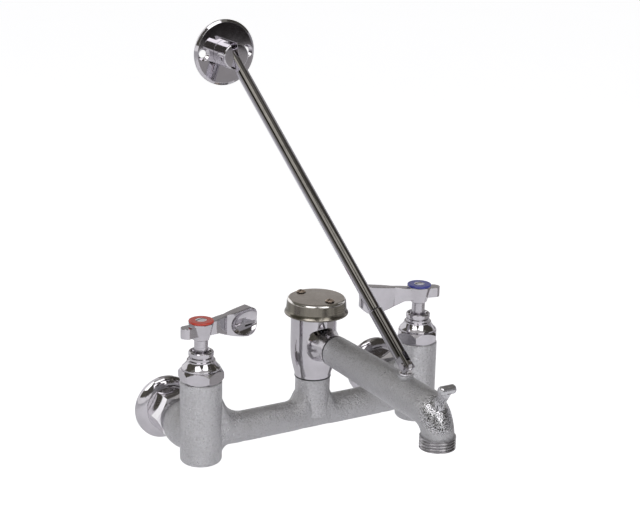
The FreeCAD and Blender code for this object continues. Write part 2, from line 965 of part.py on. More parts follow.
def lever_plan():
    """The plan outline that thins the blade at its waist, cut as a common solid."""
    root_end, waist = size("lever_root_length"), size("lever_waist_reach")
    cheek, end = size("lever_cheek_reach"), size("lever_end_reach")
    root_half = size("lever_root_thick") / 2
    waist_half = size("lever_waist_thick") / 2
    tip_half = size("lever_tip_thick") / 2
    end_half = size("lever_end_thick") / 2
    waist_arc, cheek_arc = size("lever_waist_arc"), size("lever_cheek_arc")
    end_arc = size("lever_end_arc")
    body = new_body("Plan")
    pad(body, "XY_Plane", [
        (0, -root_half),
        (root_end, -root_half),
        (waist, -waist_half, waist_arc),
        (cheek, -tip_half, cheek_arc),
        (end, -end_half, end_arc),
        (end, end_half),
        (cheek, tip_half, end_arc),
        (waist, waist_half, cheek_arc),
        (root_end, root_half, waist_arc),
        (0, root_half),
    ], size("lever_tip_top") - size("lever_tip_foot") + 2 * overcut,
        offset=size("lever_tip_foot") - overcut)
    return body


def lever(label, x, turn):
    """Tapered eight-sided hub, waisted blade with a scooped paddle, and a short stub behind."""
    blade_body = new_body("Blade")
    lever_blade(blade_body)
    blade = common(blade_body, lever_plan())
    scoop = doc.addObject("Part::Ellipsoid", name_for("Ellipsoid"))
    tip_middle = (size("lever_tip_top") + size("lever_tip_foot")) / 2
    bind(scoop, Radius1=size("scoop_depth"), Radius2=size("scoop_length") / 2,
         Radius3=size("lever_tip_top") / 2 - size("lever_tip_foot") / 2 - size("scoop_margin"))
    for prop, angle in (("Angle1", -90), ("Angle2", 90), ("Angle3", 360)):
        setattr(scoop, prop, angle)
    lay(scoop, x=size("scoop_reach"), y=-size("lever_tip_thick") / 2 - size("scoop_offset"),
        z=tip_middle, turn=Rotation(Vector(0, 0, 1), Vector(0, 1, 0)))
    hub = new_body("Hub")
    top_sketch = outline(hub, "XY_Plane", ring_of_corners(size("lever_hub_top_dia"), 8, 22.5),
                         offset=lever_top())
    foot_sketch = outline(hub, "XY_Plane", ring_of_corners(size("lever_hub_foot_dia"), 8, 22.5),
                          offset=size("lever_base"))
    feature = hub.newObject("PartDesign::AdditiveLoft", name_for("HubLoft"))
    feature.Profile = foot_sketch
    feature.Sections = [top_sketch]
    stub = new_body("Stub")
    half, root_half = size("stub_thick") / 2, size("stub_root_thick") / 2
    reach, nose, nose_arc = size("stub_reach"), size("stub_nose"), size("stub_nose_arc")
    pad(stub, "XY_Plane", [
        (-2 * overcut, -root_half),
        (-2 * overcut, root_half),
        (nose - reach, half),
        (-reach, 0, nose_arc),
        (nose - reach, -half, nose_arc),
    ], size("stub_top") - size("stub_foot"), offset=size("stub_foot"))
    socket = cylinder(size("spline_dia") + 2 * size("press_gap"),
                      size("spline_height") + 2 * size("running_gap") + overcut,
                      z=size("lever_base") - overcut)
    counterbore = cylinder(size("stem_dia") + 2 * size("socket_depth"),
                           size("socket_relief") - size("running_gap") + overcut,
                           z=size("lever_base") - overcut)
    screw_hole = cylinder(size("index_screw_dia") / 2, size("lever_hub_height"),
                          z=size("lever_base") + overcut)
    piece = cut(fuse(hub, cut(blade, scoop), stub), socket, counterbore, screw_hole)
    node(lay(piece, x=x, y=valve_y, turn=Rotation(Vector(0, 0, 1), turn)), label)


def index_ring(label, x):
    """The coloured ring on top of the hub."""
    outer_r = size("index_dia") / 2
    inner_r = size("index_screw_dia") / 2 + size("press_gap")
    edge = size("index_edge")
    base = lever_top()
    top = base + size("index_thick")
    blank = lathe([
        (inner_r, base),
        (outer_r - edge, base),
        (outer_r, base + edge),
        (outer_r, top - edge),
        (outer_r - edge, top, edge),
        (inner_r, top),
    ])
    node(lay(blank, x=x, y=valve_y), label)


def index_screw(label, x):
    """The screw in the middle of the ring that holds the lever on the stem."""
    head_r = size("index_screw_dia") / 2
    shank_r = head_r / 2 - size("press_gap")
    base = lever_top()
    top = base + size("index_thick")
    crown = top + size("index_screw_crown")
    blank = lathe([
        (0, size("lever_base") + size("spline_height")),
        (shank_r, size("lever_base") + size("spline_height")),
        (shank_r, base),
        (head_r, base),
        (head_r, top),
        (0, crown, size("index_screw_dia") * 1.5),
    ])
    slot = block(2 * (head_r + overcut), size("index_slot_width"),
                 size("index_slot_depth") + overcut, z=crown - size("index_slot_depth"))
    node(lay(cut(blank, slot), x=x, y=valve_y), label)


def valve(name, side):
    x = side * half_centres
    washer(name + "_seal_ring", size("disc_dia"), size("seal_bore"), size("seal_thick"),
           x=x, y=valve_y, z=size("seat_height"))
    disc(name + "_fixed_disc", seal_top(), (0, 180), x)
    disc(name + "_moving_disc", fixed_disc_top() + size("running_gap"), (90, 270), x)
    cartridge(name + "_cartridge", x)
    neck_top = bonnet(name + "_bonnet", x, SIZES[name + "_bonnet_turn"])
    packing_nut(name + "_packing_nut", x, neck_top)
    stem(name + "_stem", x)
    stem_ring(name + "_stem_ring", x)
    lever(name + "_lever", x, SIZES["lever_yaw"] if side < 0 else 180 - SIZES["lever_yaw"])
    index_ring(name + "_index_ring", x)
    index_screw(name + "_index_screw", x)


# Vacuum breaker
def breaker_foot():
    return size("hub_height") + size("ring_thick")


def breaker_body():
    """The polished body: barrel shape, side neck for the spout, two posts for the cap."""
    foot = breaker_foot()
    top = foot + size("breaker_height")
    base_r = size("breaker_base_dia") / 2
    body_r = size("breaker_dia") / 2
    bore_r = size("breaker_bore") / 2
    inlet_r = size("breaker_inlet_bore") / 2
    spigot_r = size("hub_bore") / 2 - size("press_gap")
    seat = foot + size("breaker_seat_height")
    seat_edge = size("breaker_seat_edge")
    barrel = lathe([
        (inlet_r, foot - size("breaker_spigot")),
        (spigot_r, foot - size("breaker_spigot")),
        (spigot_r, foot),
        (base_r, foot),
        (base_r + size("breaker_base_draw"), foot + size("breaker_base_band")),
        (body_r, foot + size("breaker_swell_height"), size("breaker_swell_arc")),
        (body_r, top),
        (bore_r, top),
        (bore_r, seat + size("breaker_seat_slope")),
        (bore_r - size("breaker_seat_width"), seat),
        (inlet_r + seat_edge, seat),
        (inlet_r, seat - seat_edge),
    ])
    lay(barrel, y=valve_y)
    neck_r = size("neck_dia") / 2
    flare_r = size("neck_flare_dia") / 2
    reach = size("neck_reach")
    neck = lathe([
        (0, bore_r + size("press_gap")),
        (flare_r, bore_r + size("press_gap")),
        (flare_r, size("neck_flare_reach")),
        (neck_r, reach - size("neck_band"), -size("neck_flare_arc")),
        (neck_r, reach),
        (0, reach),
    ])
    lay(neck, y=valve_y, z=size("outlet_height"), turn=TOWARD_USER)
    reach_in = bore_r - size("breaker_seat_width")
    water = cylinder(size("water_bore"), reach - reach_in + overcut, y=valve_y - reach_in,
                     z=size("outlet_height"), turn=TOWARD_USER)
    posts, holes = [], []
    post_top = size("cap_base") + size("cap_height") - size("cap_wall")
    hole_depth = size("cap_screw_length") + 2 * size("seat_gap")
    post_foot = top - size("post_root")
    for x, y in cap_screw_places():
        post = cylinder(size("post_dia"), post_top - post_foot, x=x, y=y, z=post_foot)
        reach_out = size("breaker_dia") + 2 * size("post_stand")
        posts.append(common(post, cylinder(reach_out, post_top, y=valve_y)))
        holes.append(cylinder(size("cap_screw_dia") + 2 * size("press_gap"),
                              hole_depth + overcut, x=x, y=y, z=post_top - hole_depth))
    clearway = cylinder(size("breaker_bore"), size("breaker_height"), y=valve_y,
                        z=seat + size("breaker_seat_slope") + overcut)
    node(cut(fuse(barrel, neck, *posts), water, clearway, *holes), "breaker_body")


def cap_screw_places():
    angle = math.radians(SIZES["cap_screw_angle"])
    reach = size("cap_screw_spacing") / 2
    places = []
    x = size("cap_screw_shift_x")
    y = valve_y - size("cap_screw_shift_y")
    for way in (-1, 1):
        places.append((x + way * reach * math.sin(angle), y - way * reach * math.cos(angle)))
    return places


def breaker_guide():
    """The vented plate that guides the float's stem and is its air seat."""
    outer_r = size("breaker_bore") / 2 - size("press_gap")
    base = breaker_foot() + size("guide_height")
    plate = cylinder(2 * outer_r, size("guide_thick"), y=valve_y, z=base)
    through = size("guide_thick") + 2 * overcut
    holes = [cylinder(size("float_stem_dia") + 2 * size("running_gap"), through,
                      y=valve_y, z=base - overcut)]
    vents = 6
    vent_reach = size("float_dia") / 2 - size("vent_margin")
    for index in range(vents):
        angle = 2 * math.pi * index / vents
        holes.append(cylinder(size("vent_dia"), through, x=vent_reach * math.cos(angle),
                              y=valve_y + vent_reach * math.sin(angle), z=base - overcut))
    node(cut(plate, *holes), "breaker_guide")


def breaker_float():
    """The float: it sits on the water seat and rises to the guide when the water runs."""
    seat = breaker_foot() + size("breaker_seat_height")
    float_r = size("float_dia") / 2
    stem_r = size("float_stem_dia") / 2
    pad_r, thick, taper = size("float_pad_dia") / 2, size("float_thick"), size("float_taper")
    pad_top = seat + size("seat_gap") + size("float_washer_thick")
    air_pad = breaker_foot() + size("guide_height") - size("float_travel") - size("seat_gap")
    tip = air_pad + size("float_travel") + size("guide_thick") + size("float_tip")
    piece = lathe([
        (0, pad_top),
        (pad_r, pad_top),
        (pad_r, pad_top + thick),
        (stem_r, pad_top + thick + taper),
        (stem_r, air_pad - thick - taper),
        (float_r, air_pad - thick),
        (float_r, air_pad),
        (stem_r, air_pad),
        (stem_r, tip),
        (0, tip),
    ])
    node(lay(piece, y=valve_y), "breaker_float")
    washer("float_washer", size("float_washer_dia"), size("float_washer_bore"),
           size("float_washer_thick"), y=valve_y, z=seat + size("seat_gap"))


def breaker_cap():
    """The flared cap with a rounded top edge, hollow underneath."""
    rim_r = size("cap_dia") / 2
    top_r = size("cap_top_dia") / 2
    base = size("cap_base")
    top = base + size("cap_height")
    wall, edge, rim_edge = size("cap_wall"), size("cap_edge"), size("cap_rim_edge")
    flare_top = base + size("cap_flare_height")
    blank = lathe([
        (rim_r - wall, base),
        (rim_r - rim_edge, base),
        (rim_r, base + rim_edge),
        (rim_r, base + size("cap_rim_height")),
        (top_r + size("cap_flare_step"), flare_top, -size("cap_flare_arc")),
        (top_r, top - edge),
        (top_r - edge, top, edge),
        (0, top + size("cap_crown"), size("cap_dia") * 8),
        (0, top - wall),
        (top_r - edge, top - wall),
        (top_r - wall, top - wall - edge / 2),
        (top_r - wall, flare_top),
    ])
    lay(blank, x=size("cap_shift_x"), y=valve_y - size("cap_shift_y"))
    holes = [cylinder(size("cap_screw_dia") + 2 * size("press_gap"), size("cap_height"),
                      x=x, y=y, z=flare_top) for x, y in cap_screw_places()]
    node(cut(blank, *holes), "breaker_cap")


def cap_screws():
    """Two round-head slotted screws, one group."""
    head_r = size("cap_screw_head") / 2
    shank_r = size("cap_screw_dia") / 2
    base = size("cap_base") + size("cap_height") + size("cap_crown")
    foot = base - size("cap_screw_length")
    top = base + size("cap_screw_rise")
    depth = overcut
    pieces = []
    for x, y in cap_screw_places():
        screw = lathe([
            (0, foot),
            (shank_r, foot),
            (shank_r, base),
            (head_r, base),
            (head_r, base + size("cap_screw_edge")),
            (0, top, size("cap_screw_head") * 0.7),
        ])
        slot = block(2 * (head_r + overcut), size("cap_slot_width"), depth + overcut,
                     z=top - depth)
        turn = Rotation(Vector(0, 0, 1), SIZES["cap_slot_turn"])
        pieces.append(lay(cut(screw, slot), x=x, y=y, turn=turn))
    node(fuse(*pieces), "cap_screws")


# Spout
def spout_start():
    return size("valve_reach") + size("neck_reach") + size("ring_thick")


def outlet_y():
    return -size("valve_reach") - size("spout_reach")


def spout_run_end():
    """Where the straight run ends and the elbow starts."""
    return size("valve_reach") + size("spout_reach") - size("elbow_bend")


def elbow():
    """The elbow, narrowing from the run to the hose end: round sections along a quarter circle."""
    bend, height = size("elbow_bend"), size("outlet_height")
    run_r, neck_r = size("spout_dia") / 2, size("hose_neck_dia") / 2
    sections = []
    steps = 6
    for step in range(steps + 1):
        angle = math.pi / 2 * step / steps
        share = 0.5 - 0.5 * math.cos(math.pi * step / steps)
        section = doc.addObject("Part::Ellipse", name_for("Ellipse"))
        radius = run_r + (neck_r - run_r) * share
        bind(section, MajorRadius=radius, MinorRadius=radius)
        lay(section, y=-spout_run_end() - bend * math.sin(angle),
            z=height - bend * (1 - math.cos(angle)),
            turn=Rotation(Vector(1, 0, 0), 90 + math.degrees(angle)))
        sections.append(section)
    return loft(sections)


def spout_bore():
    """The waterway: straight run, quarter bend and the drop through the thread."""
    bore, height, bend_r = size("water_bore"), size("outlet_height"), size("elbow_bend")
    start = spout_start() - overcut
    run = cylinder(bore, spout_run_end() - start, y=-start, z=height, turn=TOWARD_USER)
    bend = doc.addObject("Part::Torus", name_for("Torus"))
    bind(bend, Radius1=bend_r, Radius2=bore / 2)
    bend.Angle3 = 90
    toward_drop = Rotation(Vector(0, -1, 0), Vector(1, 0, 0), Vector(-1, 0, 0), "ZXY")
    lay(bend, y=-spout_run_end(), z=height - bend_r, turn=toward_drop)
    drop = cylinder(bore, size("outlet_drop") - bend_r + overcut, y=outlet_y(),
                    z=height - size("outlet_drop") - overcut)
    return fuse(run, bend, drop)


def spout():
    height = size("outlet_height")
    end_z = height - size("outlet_drop")
    edge = size("spout_root_edge")
    root_r = size("spout_root_dia") / 2
    run = lathe([
        (0, 0),
        (root_r - edge, 0),
        (root_r, edge),
        (size("spout_dia") / 2, spout_run_end() - spout_start()),
        (0, spout_run_end() - spout_start()),
    ], "Run")
    lay(run, y=-spout_start(), z=height, turn=TOWARD_USER)
    thread = cylinder(size("hose_thread_dia"), size("hose_thread_length"), y=outlet_y(), z=end_z)
    boss = cylinder(size("boss_dia"), size("boss_height"), y=brace_foot_y(), z=height)
    hole_depth = size("eye_shank_length") + 2 * size("running_gap")
    shank_hole = cylinder(size("eye_shank_dia") + 2 * size("pin_gap"), hole_depth + overcut,
                          y=brace_foot_y(), z=height + size("boss_height") - hole_depth)
    solid = fuse(run, elbow(), thread, boss, *hook())
    node(cut(solid, spout_bore(), shank_hole), "spout")


def hook():
    """The pail hook: a neck leaning forward from the elbow with a round crossbar."""
    bar_y = outlet_y() - size("hook_stand")
    bar_z = size("outlet_height") + size("hook_rise")
    bend_y = outlet_y() + size("elbow_bend")
    bend_z = size("outlet_height") - size("elbow_bend")
    lean = Vector(0, bar_y.value - bend_y.value, bar_z.value - bend_z.value)
    surface = size("elbow_bend") + size("spout_dia") / 2
    start = surface - size("hook_root_depth")
    lean_length = root((bar_y - bend_y) * (bar_y - bend_y) + (bar_z - bend_z) * (bar_z - bend_z))
    root_r, neck_r = size("hook_root_dia") / 2, size("hook_neck_dia") / 2
    neck = lathe([
        (0, start),
        (root_r, start),
        (root_r, surface - overcut),
        (neck_r, surface + size("hook_root_rise"), -size("hook_root_arc")),
        (neck_r, lean_length),
        (0, lean_length),
    ])
    lay(neck, y=bend_y, z=bend_z, turn=Rotation(Vector(0, 0, 1), lean))
    bar_r_hook = size("hook_bar_dia") / 2
    half = size("hook_bar_length") / 2
    edge = size("hook_bar_edge")
    bar = lathe([
        (0, -half),
        (bar_r_hook - edge, -half),
        (bar_r_hook, edge - half, edge),
        (bar_r_hook, half - edge),
        (bar_r_hook - edge, half, edge),
        (0, half),
    ])
    lay(bar, y=bar_y, z=bar_z, turn=ALONG_X)
    return [neck, bar]


# Wall brace
def brace_foot_y():
    return outlet_y() + size("brace_foot_back")


def brace_frame():
    """Ends, directions and turns of the brace, worked out from its two pins."""
    foot = Vector(0, brace_foot_y().value,
                  SIZES["outlet_height"] + SIZES["brace_foot_rise"])
    pin_depth = (size("flange_thick") + size("seat_gap") + size("turret_length")
                 - size("turret_pin_back")).value
    head = Vector(-SIZES["brace_side"], -pin_depth, SIZES["brace_height"])
    along = head - foot
    length = along.Length
    along.normalize()
    foot_pin = along.cross(Vector(0, 0, 1))
    foot_pin.normalize()
    head_pin = Vector(0, 1, 0).cross(along)
    head_pin.normalize()
    return foot, head, along, length, foot_pin, head_pin


def turned(x_axis, z_axis):
    """The rotation that takes X and Z to these two directions."""
    return Rotation(x_axis, Vector(0, 0, 0), z_axis, "ZXY")


def brace_eye():
    """The swivelling eye on the spout: shank, collar and flat lug."""
    foot, _, _, _, foot_pin, _ = brace_frame()
    rise = size("brace_foot_rise") - size("boss_height")
    collar_foot = 2 * size("running_gap") - rise
    shank = lathe([
        (0, collar_foot - size("eye_shank_length")),
        (size("eye_shank_dia") / 2, collar_foot - size("eye_shank_length")),
        (size("eye_shank_dia") / 2, collar_foot),
        (size("eye_collar_dia") / 2, collar_foot),
        (size("eye_collar_dia") / 2, collar_foot + size("eye_collar_thick")),
        (0, collar_foot + size("eye_collar_thick")),
    ])
    eye = cylinder(size("eye_dia"), size("eye_thick"), x=-size("eye_thick") / 2, turn=ALONG_X)
    stalk_foot = collar_foot + size("eye_stalk_sink")
    stalk = block(size("eye_thick"), size("eye_stalk_width"), -stalk_foot, z=stalk_foot)
    hole = cylinder(size("brace_pin_dia") + 2 * size("pin_gap"), size("eye_thick") + 2 * overcut,
                    x=-size("eye_thick") / 2 - overcut, turn=ALONG_X)
    piece = cut(fuse(shank, eye, stalk), hole)
    node(placed(piece, Placement(foot, turned(foot_pin, Vector(0, 0, 1)))), "brace_eye")


def headed_pin(label, length, place):
    """A cross pin with two flat heads, centred on its place along local X."""
    pin_r = size("brace_pin_dia") / 2
    head_r = size("brace_pin_head") / 2
    edge = size("brace_pin_edge")
    half = length / 2
    tip = half + size("brace_pin_head_thick")
    piece = lathe([
        (0, -tip),
        (head_r - edge, -tip),
        (head_r, edge - tip),
        (head_r, -half),
        (pin_r, -half),
        (pin_r, half),
        (head_r, half),
        (head_r, tip - edge),
        (head_r - edge, tip),
        (0, tip),
    ])
    node(placed(piece, place.multiply(Placement(Vector(), ALONG_X))), label)


def plain_pin(label, length, place):
    """A cross pin with chamfered ends, centred on its place along local X."""
    pin_r = size("brace_pin_dia") / 2
    edge = size("brace_pin_edge")
    half = length / 2
    piece = lathe([
        (0, -half),
        (pin_r - edge, -half),
        (pin_r, edge - half),
        (pin_r, half - edge),
        (pin_r - edge, half),
        (0, half),
    ])
    node(placed(piece, place.multiply(Placement(Vector(), ALONG_X))), label)


def brace_sleeve():
    """The sleeve: forked foot with milled ears, bored for the rod's stub at the top."""
    foot, _, along, _, foot_pin, _ = brace_frame()
    place = Placement(foot, turned(foot_pin, along))
    sleeve_r = size("sleeve_dia") / 2
    ear_r = size("ear_dia") / 2
    bore_r = size("rod_stub_dia") / 2 + size("press_gap")
    top, chamfer = size("sleeve_length"), size("sleeve_edge")
    bore_foot = top - size("rod_stub_length") - overcut
    barrel = lathe([
        (0, -ear_r),
        (sleeve_r, -ear_r),
        (sleeve_r, top - chamfer),
        (sleeve_r - chamfer, top),
        (bore_r, top),
        (bore_r, bore_foot),
        (0, bore_foot - size("sleeve_drill_point")),
    ])
    wide, below = size("sleeve_dia") + 2 * overcut, ear_r + overcut
    corner = cut(block(wide, wide, below, z=-below),
                 cylinder(size("ear_dia"), wide + 2 * overcut, x=-sleeve_r - 2 * overcut,
                          turn=ALONG_X))
    slot = block(size("eye_thick") + size("seat_gap"), wide, size("sleeve_fork") + below,
                 z=-below)
    hole = cylinder(size("brace_pin_dia") + 2 * size("press_gap"), wide,
                    x=-sleeve_r - overcut, turn=ALONG_X)
    mills = [block(sleeve_r, wide, size("sleeve_mill") + below,
                   x=way * (size("ear_flat") / 2 + sleeve_r / 2), z=-below) for way in (-1, 1)]
    piece = cut(barrel, corner, slot, hole, *mills)
    node(placed(piece, place), "brace_sleeve")
    headed_pin("brace_lower_pin", size("ear_flat") + 2 * size("press_gap"), place)


def brace_rod():
    """The rod: reduced stub inside the sleeve, plain shank, flattened tongue at the wall end."""
    foot, _, along, length, _, head_pin = brace_frame()
    place = Placement(foot, turned(head_pin, along))
    rod_r = size("rod_dia") / 2
    stub_r = size("rod_stub_dia") / 2
    shoulder = size("sleeve_length") + size("seat_gap")
    stub_foot = size("sleeve_length") - size("rod_stub_length")
    end, edge = rod_r + length, size("rod_edge")
    shank = lathe([
        (0, stub_foot),
        (stub_r - edge, stub_foot),
        (stub_r, stub_foot + edge),
        (stub_r, shoulder),
        (rod_r - edge, shoulder),
        (rod_r, shoulder + edge),
        (rod_r, end),
        (0, end),
    ])
    tongue_foot = length - size("rod_tongue_length")
    wide = size("rod_dia") + 2 * overcut
    mills = [block(rod_r, wide, size("rod_tongue_length") + rod_r + overcut,
                   x=way * (size("rod_tongue_thick") / 2 + rod_r / 2), z=tongue_foot)
             for way in (-1, 1)]
    corner = cut(block(wide, wide, rod_r + overcut, z=length),
                 cylinder(size("rod_dia"), wide + 2 * overcut, x=-rod_r - 2 * overcut, z=length,
                          turn=ALONG_X))
    hole = cylinder(size("brace_pin_dia") + 2 * size("pin_gap"), wide,
                    x=-rod_r - overcut, z=length, turn=ALONG_X)
    node(placed(cut(shank, corner, hole, *mills), place), "brace_rod")


def brace_turret():
    """The slotted hub that takes the rod's tongue and turns on the wall flange."""
    _, head, _, _, _, head_pin = brace_frame()
    centre = Vector(head.x, 0, head.z)
    place = Placement(centre, turned(head_pin, Vector(0, -1, 0)))
    turret_r = size("turret_dia") / 2
    base = size("flange_thick") + size("seat_gap")
    top = base + size("turret_length")
    stud_r = size("turret_stud_dia") / 2
    rivet_r = size("turret_rivet_dia") / 2
    rivet_foot = size("seat_gap")
    rivet_top = rivet_foot + size("turret_rivet_thick")
    edge = size("turret_edge")
    barrel = lathe([
        (0, rivet_foot),
        (rivet_r, rivet_foot),
        (rivet_r, rivet_top),
        (stud_r, rivet_top),
        (stud_r, base),
        (turret_r, base),
        (turret_r, top - edge),
        (turret_r - edge, top, edge),
        (0, top),
    ])
    pin_height = top - size("turret_pin_back")
    wide = size("turret_dia") + 2 * overcut
    slot = block(size("rod_tongue_thick") + size("seat_gap"), wide,
                 size("turret_slot_depth") + overcut, z=top - size("turret_slot_depth"))
    hole = cylinder(size("brace_pin_dia") + 2 * size("press_gap"), wide,
                    x=-turret_r - overcut, z=pin_height, turn=ALONG_X)
    node(placed(cut(barrel, slot, hole), place), "brace_turret")
    pin_place = Placement(head, turned(head_pin, Vector(0, -1, 0)))
    plain_pin("brace_upper_pin", size("turret_dia") + 2 * size("upper_pin_stand"), pin_place)


def brace_flange():
    """The wall flange: bevelled disc, two countersunk holes, a recess for the rivet head."""
    _, head, _, _, _, _ = brace_frame()
    disc_r = size("flange_dia") / 2
    thick, edge, bevel = size("flange_thick"), size("flange_edge"), size("flange_bevel")
    stud_r = size("turret_stud_dia") / 2 + size("pin_gap")
    recess_r = size("turret_rivet_dia") / 2 + size("seat_gap")
    recess = size("turret_rivet_thick") + 2 * size("seat_gap")
    disc_blank = lathe([
        (recess_r, 0),
        (disc_r, 0),
        (disc_r, thick - edge),
        (disc_r - bevel, thick),
        (stud_r, thick),
        (stud_r, recess),
        (recess_r, recess),
    ])
    hole_r, land = size("flange_hole_dia") / 2, size("flange_hole_land")
    rim_r = hole_r + thick - land
    cutters = []
    for way in (-1, 1):
        countersink = lathe([
            (0, -overcut),
            (hole_r, -overcut),
            (hole_r, land),
            (rim_r, thick),
            (rim_r, thick + overcut),
            (0, thick + overcut),
        ], "Countersink")
        cutters.append(lay(countersink, x=way * size("flange_hole_spacing") / 2))
    piece = cut(disc_blank, *cutters)
    place = Placement(Vector(head.x, 0, head.z), TOWARD_USER)
    node(placed(piece, place), "brace_flange")


# The assembly
body_casting()
for name, side in SIDES:
    adapter(name + "_adapter", side)
    union_nut(name + "_union_nut", side)
    washer(name + "_union_washer", size("tail_flange_dia"), size("tail_bore") + overcut,
           size("washer_thick") - 2 * size("press_gap"), x=side * half_centres,
           y=-size("adapter_length") - size("union_thread_length") - size("press_gap"),
           turn=TOWARD_USER)
    valve(name, side)
washer("breaker_ring", size("breaker_base_dia") + size("seat_gap"),
       size("hub_bore") + size("ring_relief"), size("ring_thick"), y=valve_y,
       z=size("hub_height"))
breaker_body()
breaker_guide()
breaker_float()
breaker_cap()
cap_screws()
washer("spout_ring", size("neck_dia") + size("seat_gap"),
       size("water_bore") + size("ring_relief"), size("ring_thick"),
       y=valve_y - size("neck_reach"), z=size("outlet_height"), turn=TOWARD_USER)
spout()
brace_eye()
brace_sleeve()
brace_rod()
brace_turret()
brace_flange()
doc.recompute()

# Checks before anything is written
for item in doc.Objects:
    if "Invalid" in item.State or "Error" in item.State:
        raise RuntimeError("{} did not compute".format(item.Label))
for item in nodes:
    if item.Shape.isNull() or not item.Shape.isValid():
        raise RuntimeError("{} has no valid shape".format(item.Label))

os.makedirs("parts", exist_ok=True)
for item in nodes:
    item.Shape.exportStep("parts/{}.step".format(item.Label))
    print("{:22s} {:10.1f} mm3 {:3d} solids".format(
        item.Label, item.Shape.Volume, len(item.Shape.Solids)))
print("{} sub-parts written".format(len(nodes)))
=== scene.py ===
"""Wall-mounted service sink faucet: its finishes, its cut threads and the studio it stands in."""
import json
import math

import bmesh
import bpy
from bpy.props import FloatProperty, FloatVectorProperty, IntProperty, PointerProperty
from bpy.types import Operator, Panel, PropertyGroup
from mathutils import Matrix, Vector


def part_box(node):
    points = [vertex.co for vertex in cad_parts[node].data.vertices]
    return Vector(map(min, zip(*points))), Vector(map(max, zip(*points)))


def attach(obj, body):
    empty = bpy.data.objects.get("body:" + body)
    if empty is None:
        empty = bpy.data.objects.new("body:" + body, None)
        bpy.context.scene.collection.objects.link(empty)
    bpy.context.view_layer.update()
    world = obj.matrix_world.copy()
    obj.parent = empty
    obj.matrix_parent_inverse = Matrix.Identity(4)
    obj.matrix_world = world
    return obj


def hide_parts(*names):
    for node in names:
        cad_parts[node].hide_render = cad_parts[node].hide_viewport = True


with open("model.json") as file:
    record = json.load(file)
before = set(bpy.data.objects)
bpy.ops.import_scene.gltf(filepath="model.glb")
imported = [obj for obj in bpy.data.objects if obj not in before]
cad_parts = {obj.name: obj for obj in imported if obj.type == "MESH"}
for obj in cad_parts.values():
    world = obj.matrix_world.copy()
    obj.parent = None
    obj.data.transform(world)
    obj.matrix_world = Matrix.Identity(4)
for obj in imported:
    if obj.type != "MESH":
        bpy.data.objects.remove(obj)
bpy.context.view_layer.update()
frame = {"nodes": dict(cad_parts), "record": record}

bl_info = {
    "name": "Service sink faucet",
    "version": (1, 0, 0),
    "blender": (4, 5, 0),
    "location": "View3D > Sidebar > Faucet",
    "description": "Finishes, cut threads and studio for a wall-mounted service sink faucet",
    "category": "Object",
}

MM = 0.001
FACING_WALL = (math.pi / 2.0, 0.0, 0.0)

# The camera fitted to the photograph: its axes, its place and its sensor
CAMERA_RIGHT = (0.8617, -0.5069, 0.0223)
CAMERA_UP = (0.1313, 0.2652, 0.9552)
CAMERA_BACK = (-0.4901, -0.8202, 0.2951)
CAMERA_PLACE = (-0.6588, -1.18, 0.5314)
SENSOR_WIDTH = 36.0

# The middle of the set, which the cards stand round, and the point that the lamps face
SET_MIDDLE = (0.0, -0.1, 0.1)
LAMP_TARGET = (0.0, -0.1, 0.08)
FLOOR_RADIUS = 7.0
CARD_CLEARANCE = 4.0 * MM
CARD_STEP = 5.0

# Name, distance from the middle, turn and rise in degrees, and tone of each card
CARDS = (
    ("canopy top front", 2.4, (150.0, 325.0), (62.0, 90.0), (0.60, 0.59, 0.58)),
    ("canopy rim front", 2.4, (150.0, 325.0), (50.0, 62.0), (0.24, 0.235, 0.21)),
    ("canopy top back", 2.4, (-35.0, 150.0), (50.0, 90.0), (0.12, 0.115, 0.10)),
    ("canopy left", 2.4, (130.0, 235.0), (12.0, 50.0), (0.11, 0.105, 0.085)),
    ("canopy front", 2.4, (-125.0, -72.0), (8.0, 50.0), (0.10, 0.095, 0.085)),
    ("canopy right", 2.4, (-72.0, 40.0), (16.0, 50.0), (0.075, 0.07, 0.06)),
    ("canopy back", 2.4, (40.0, 130.0), (32.0, 50.0), (0.12, 0.115, 0.10)),
    ("right wall", 2.35, (-72.0, 40.0), (-3.0, 16.0), (0.34, 0.335, 0.35)),
    ("back right wall", 2.35, (40.0, 80.0), (4.0, 32.0), (0.38, 0.37, 0.36)),
    ("dark doorway", 1.75, (-80.0, -48.0), (-4.4, 4.0), (0.02, 0.018, 0.018)),
    ("grey sill", 1.75, (-80.0, -48.0), (-7.3, -4.4), (0.36, 0.35, 0.35)),
    ("grey floor cloth", 1.7, (-48.0, 15.0), (-36.0, -8.5), (0.40, 0.39, 0.39)),
)


# Sizes, colours and stage settings that a user would change


def tone(name, description, default):
    """A colour setting."""
    return FloatVectorProperty(
        name=name, description=description, subtype="COLOR", size=3, min=0.0, max=1.0, default=default
    )


def length(name, description, default):
    """A length setting in metres."""
    return FloatProperty(
        name=name, description=description, default=default, min=0.0, unit="LENGTH", precision=5
    )


def power(name, default):
    """A lamp's power setting."""
    return FloatProperty(name=name, description="Its power", default=default, unit="POWER")


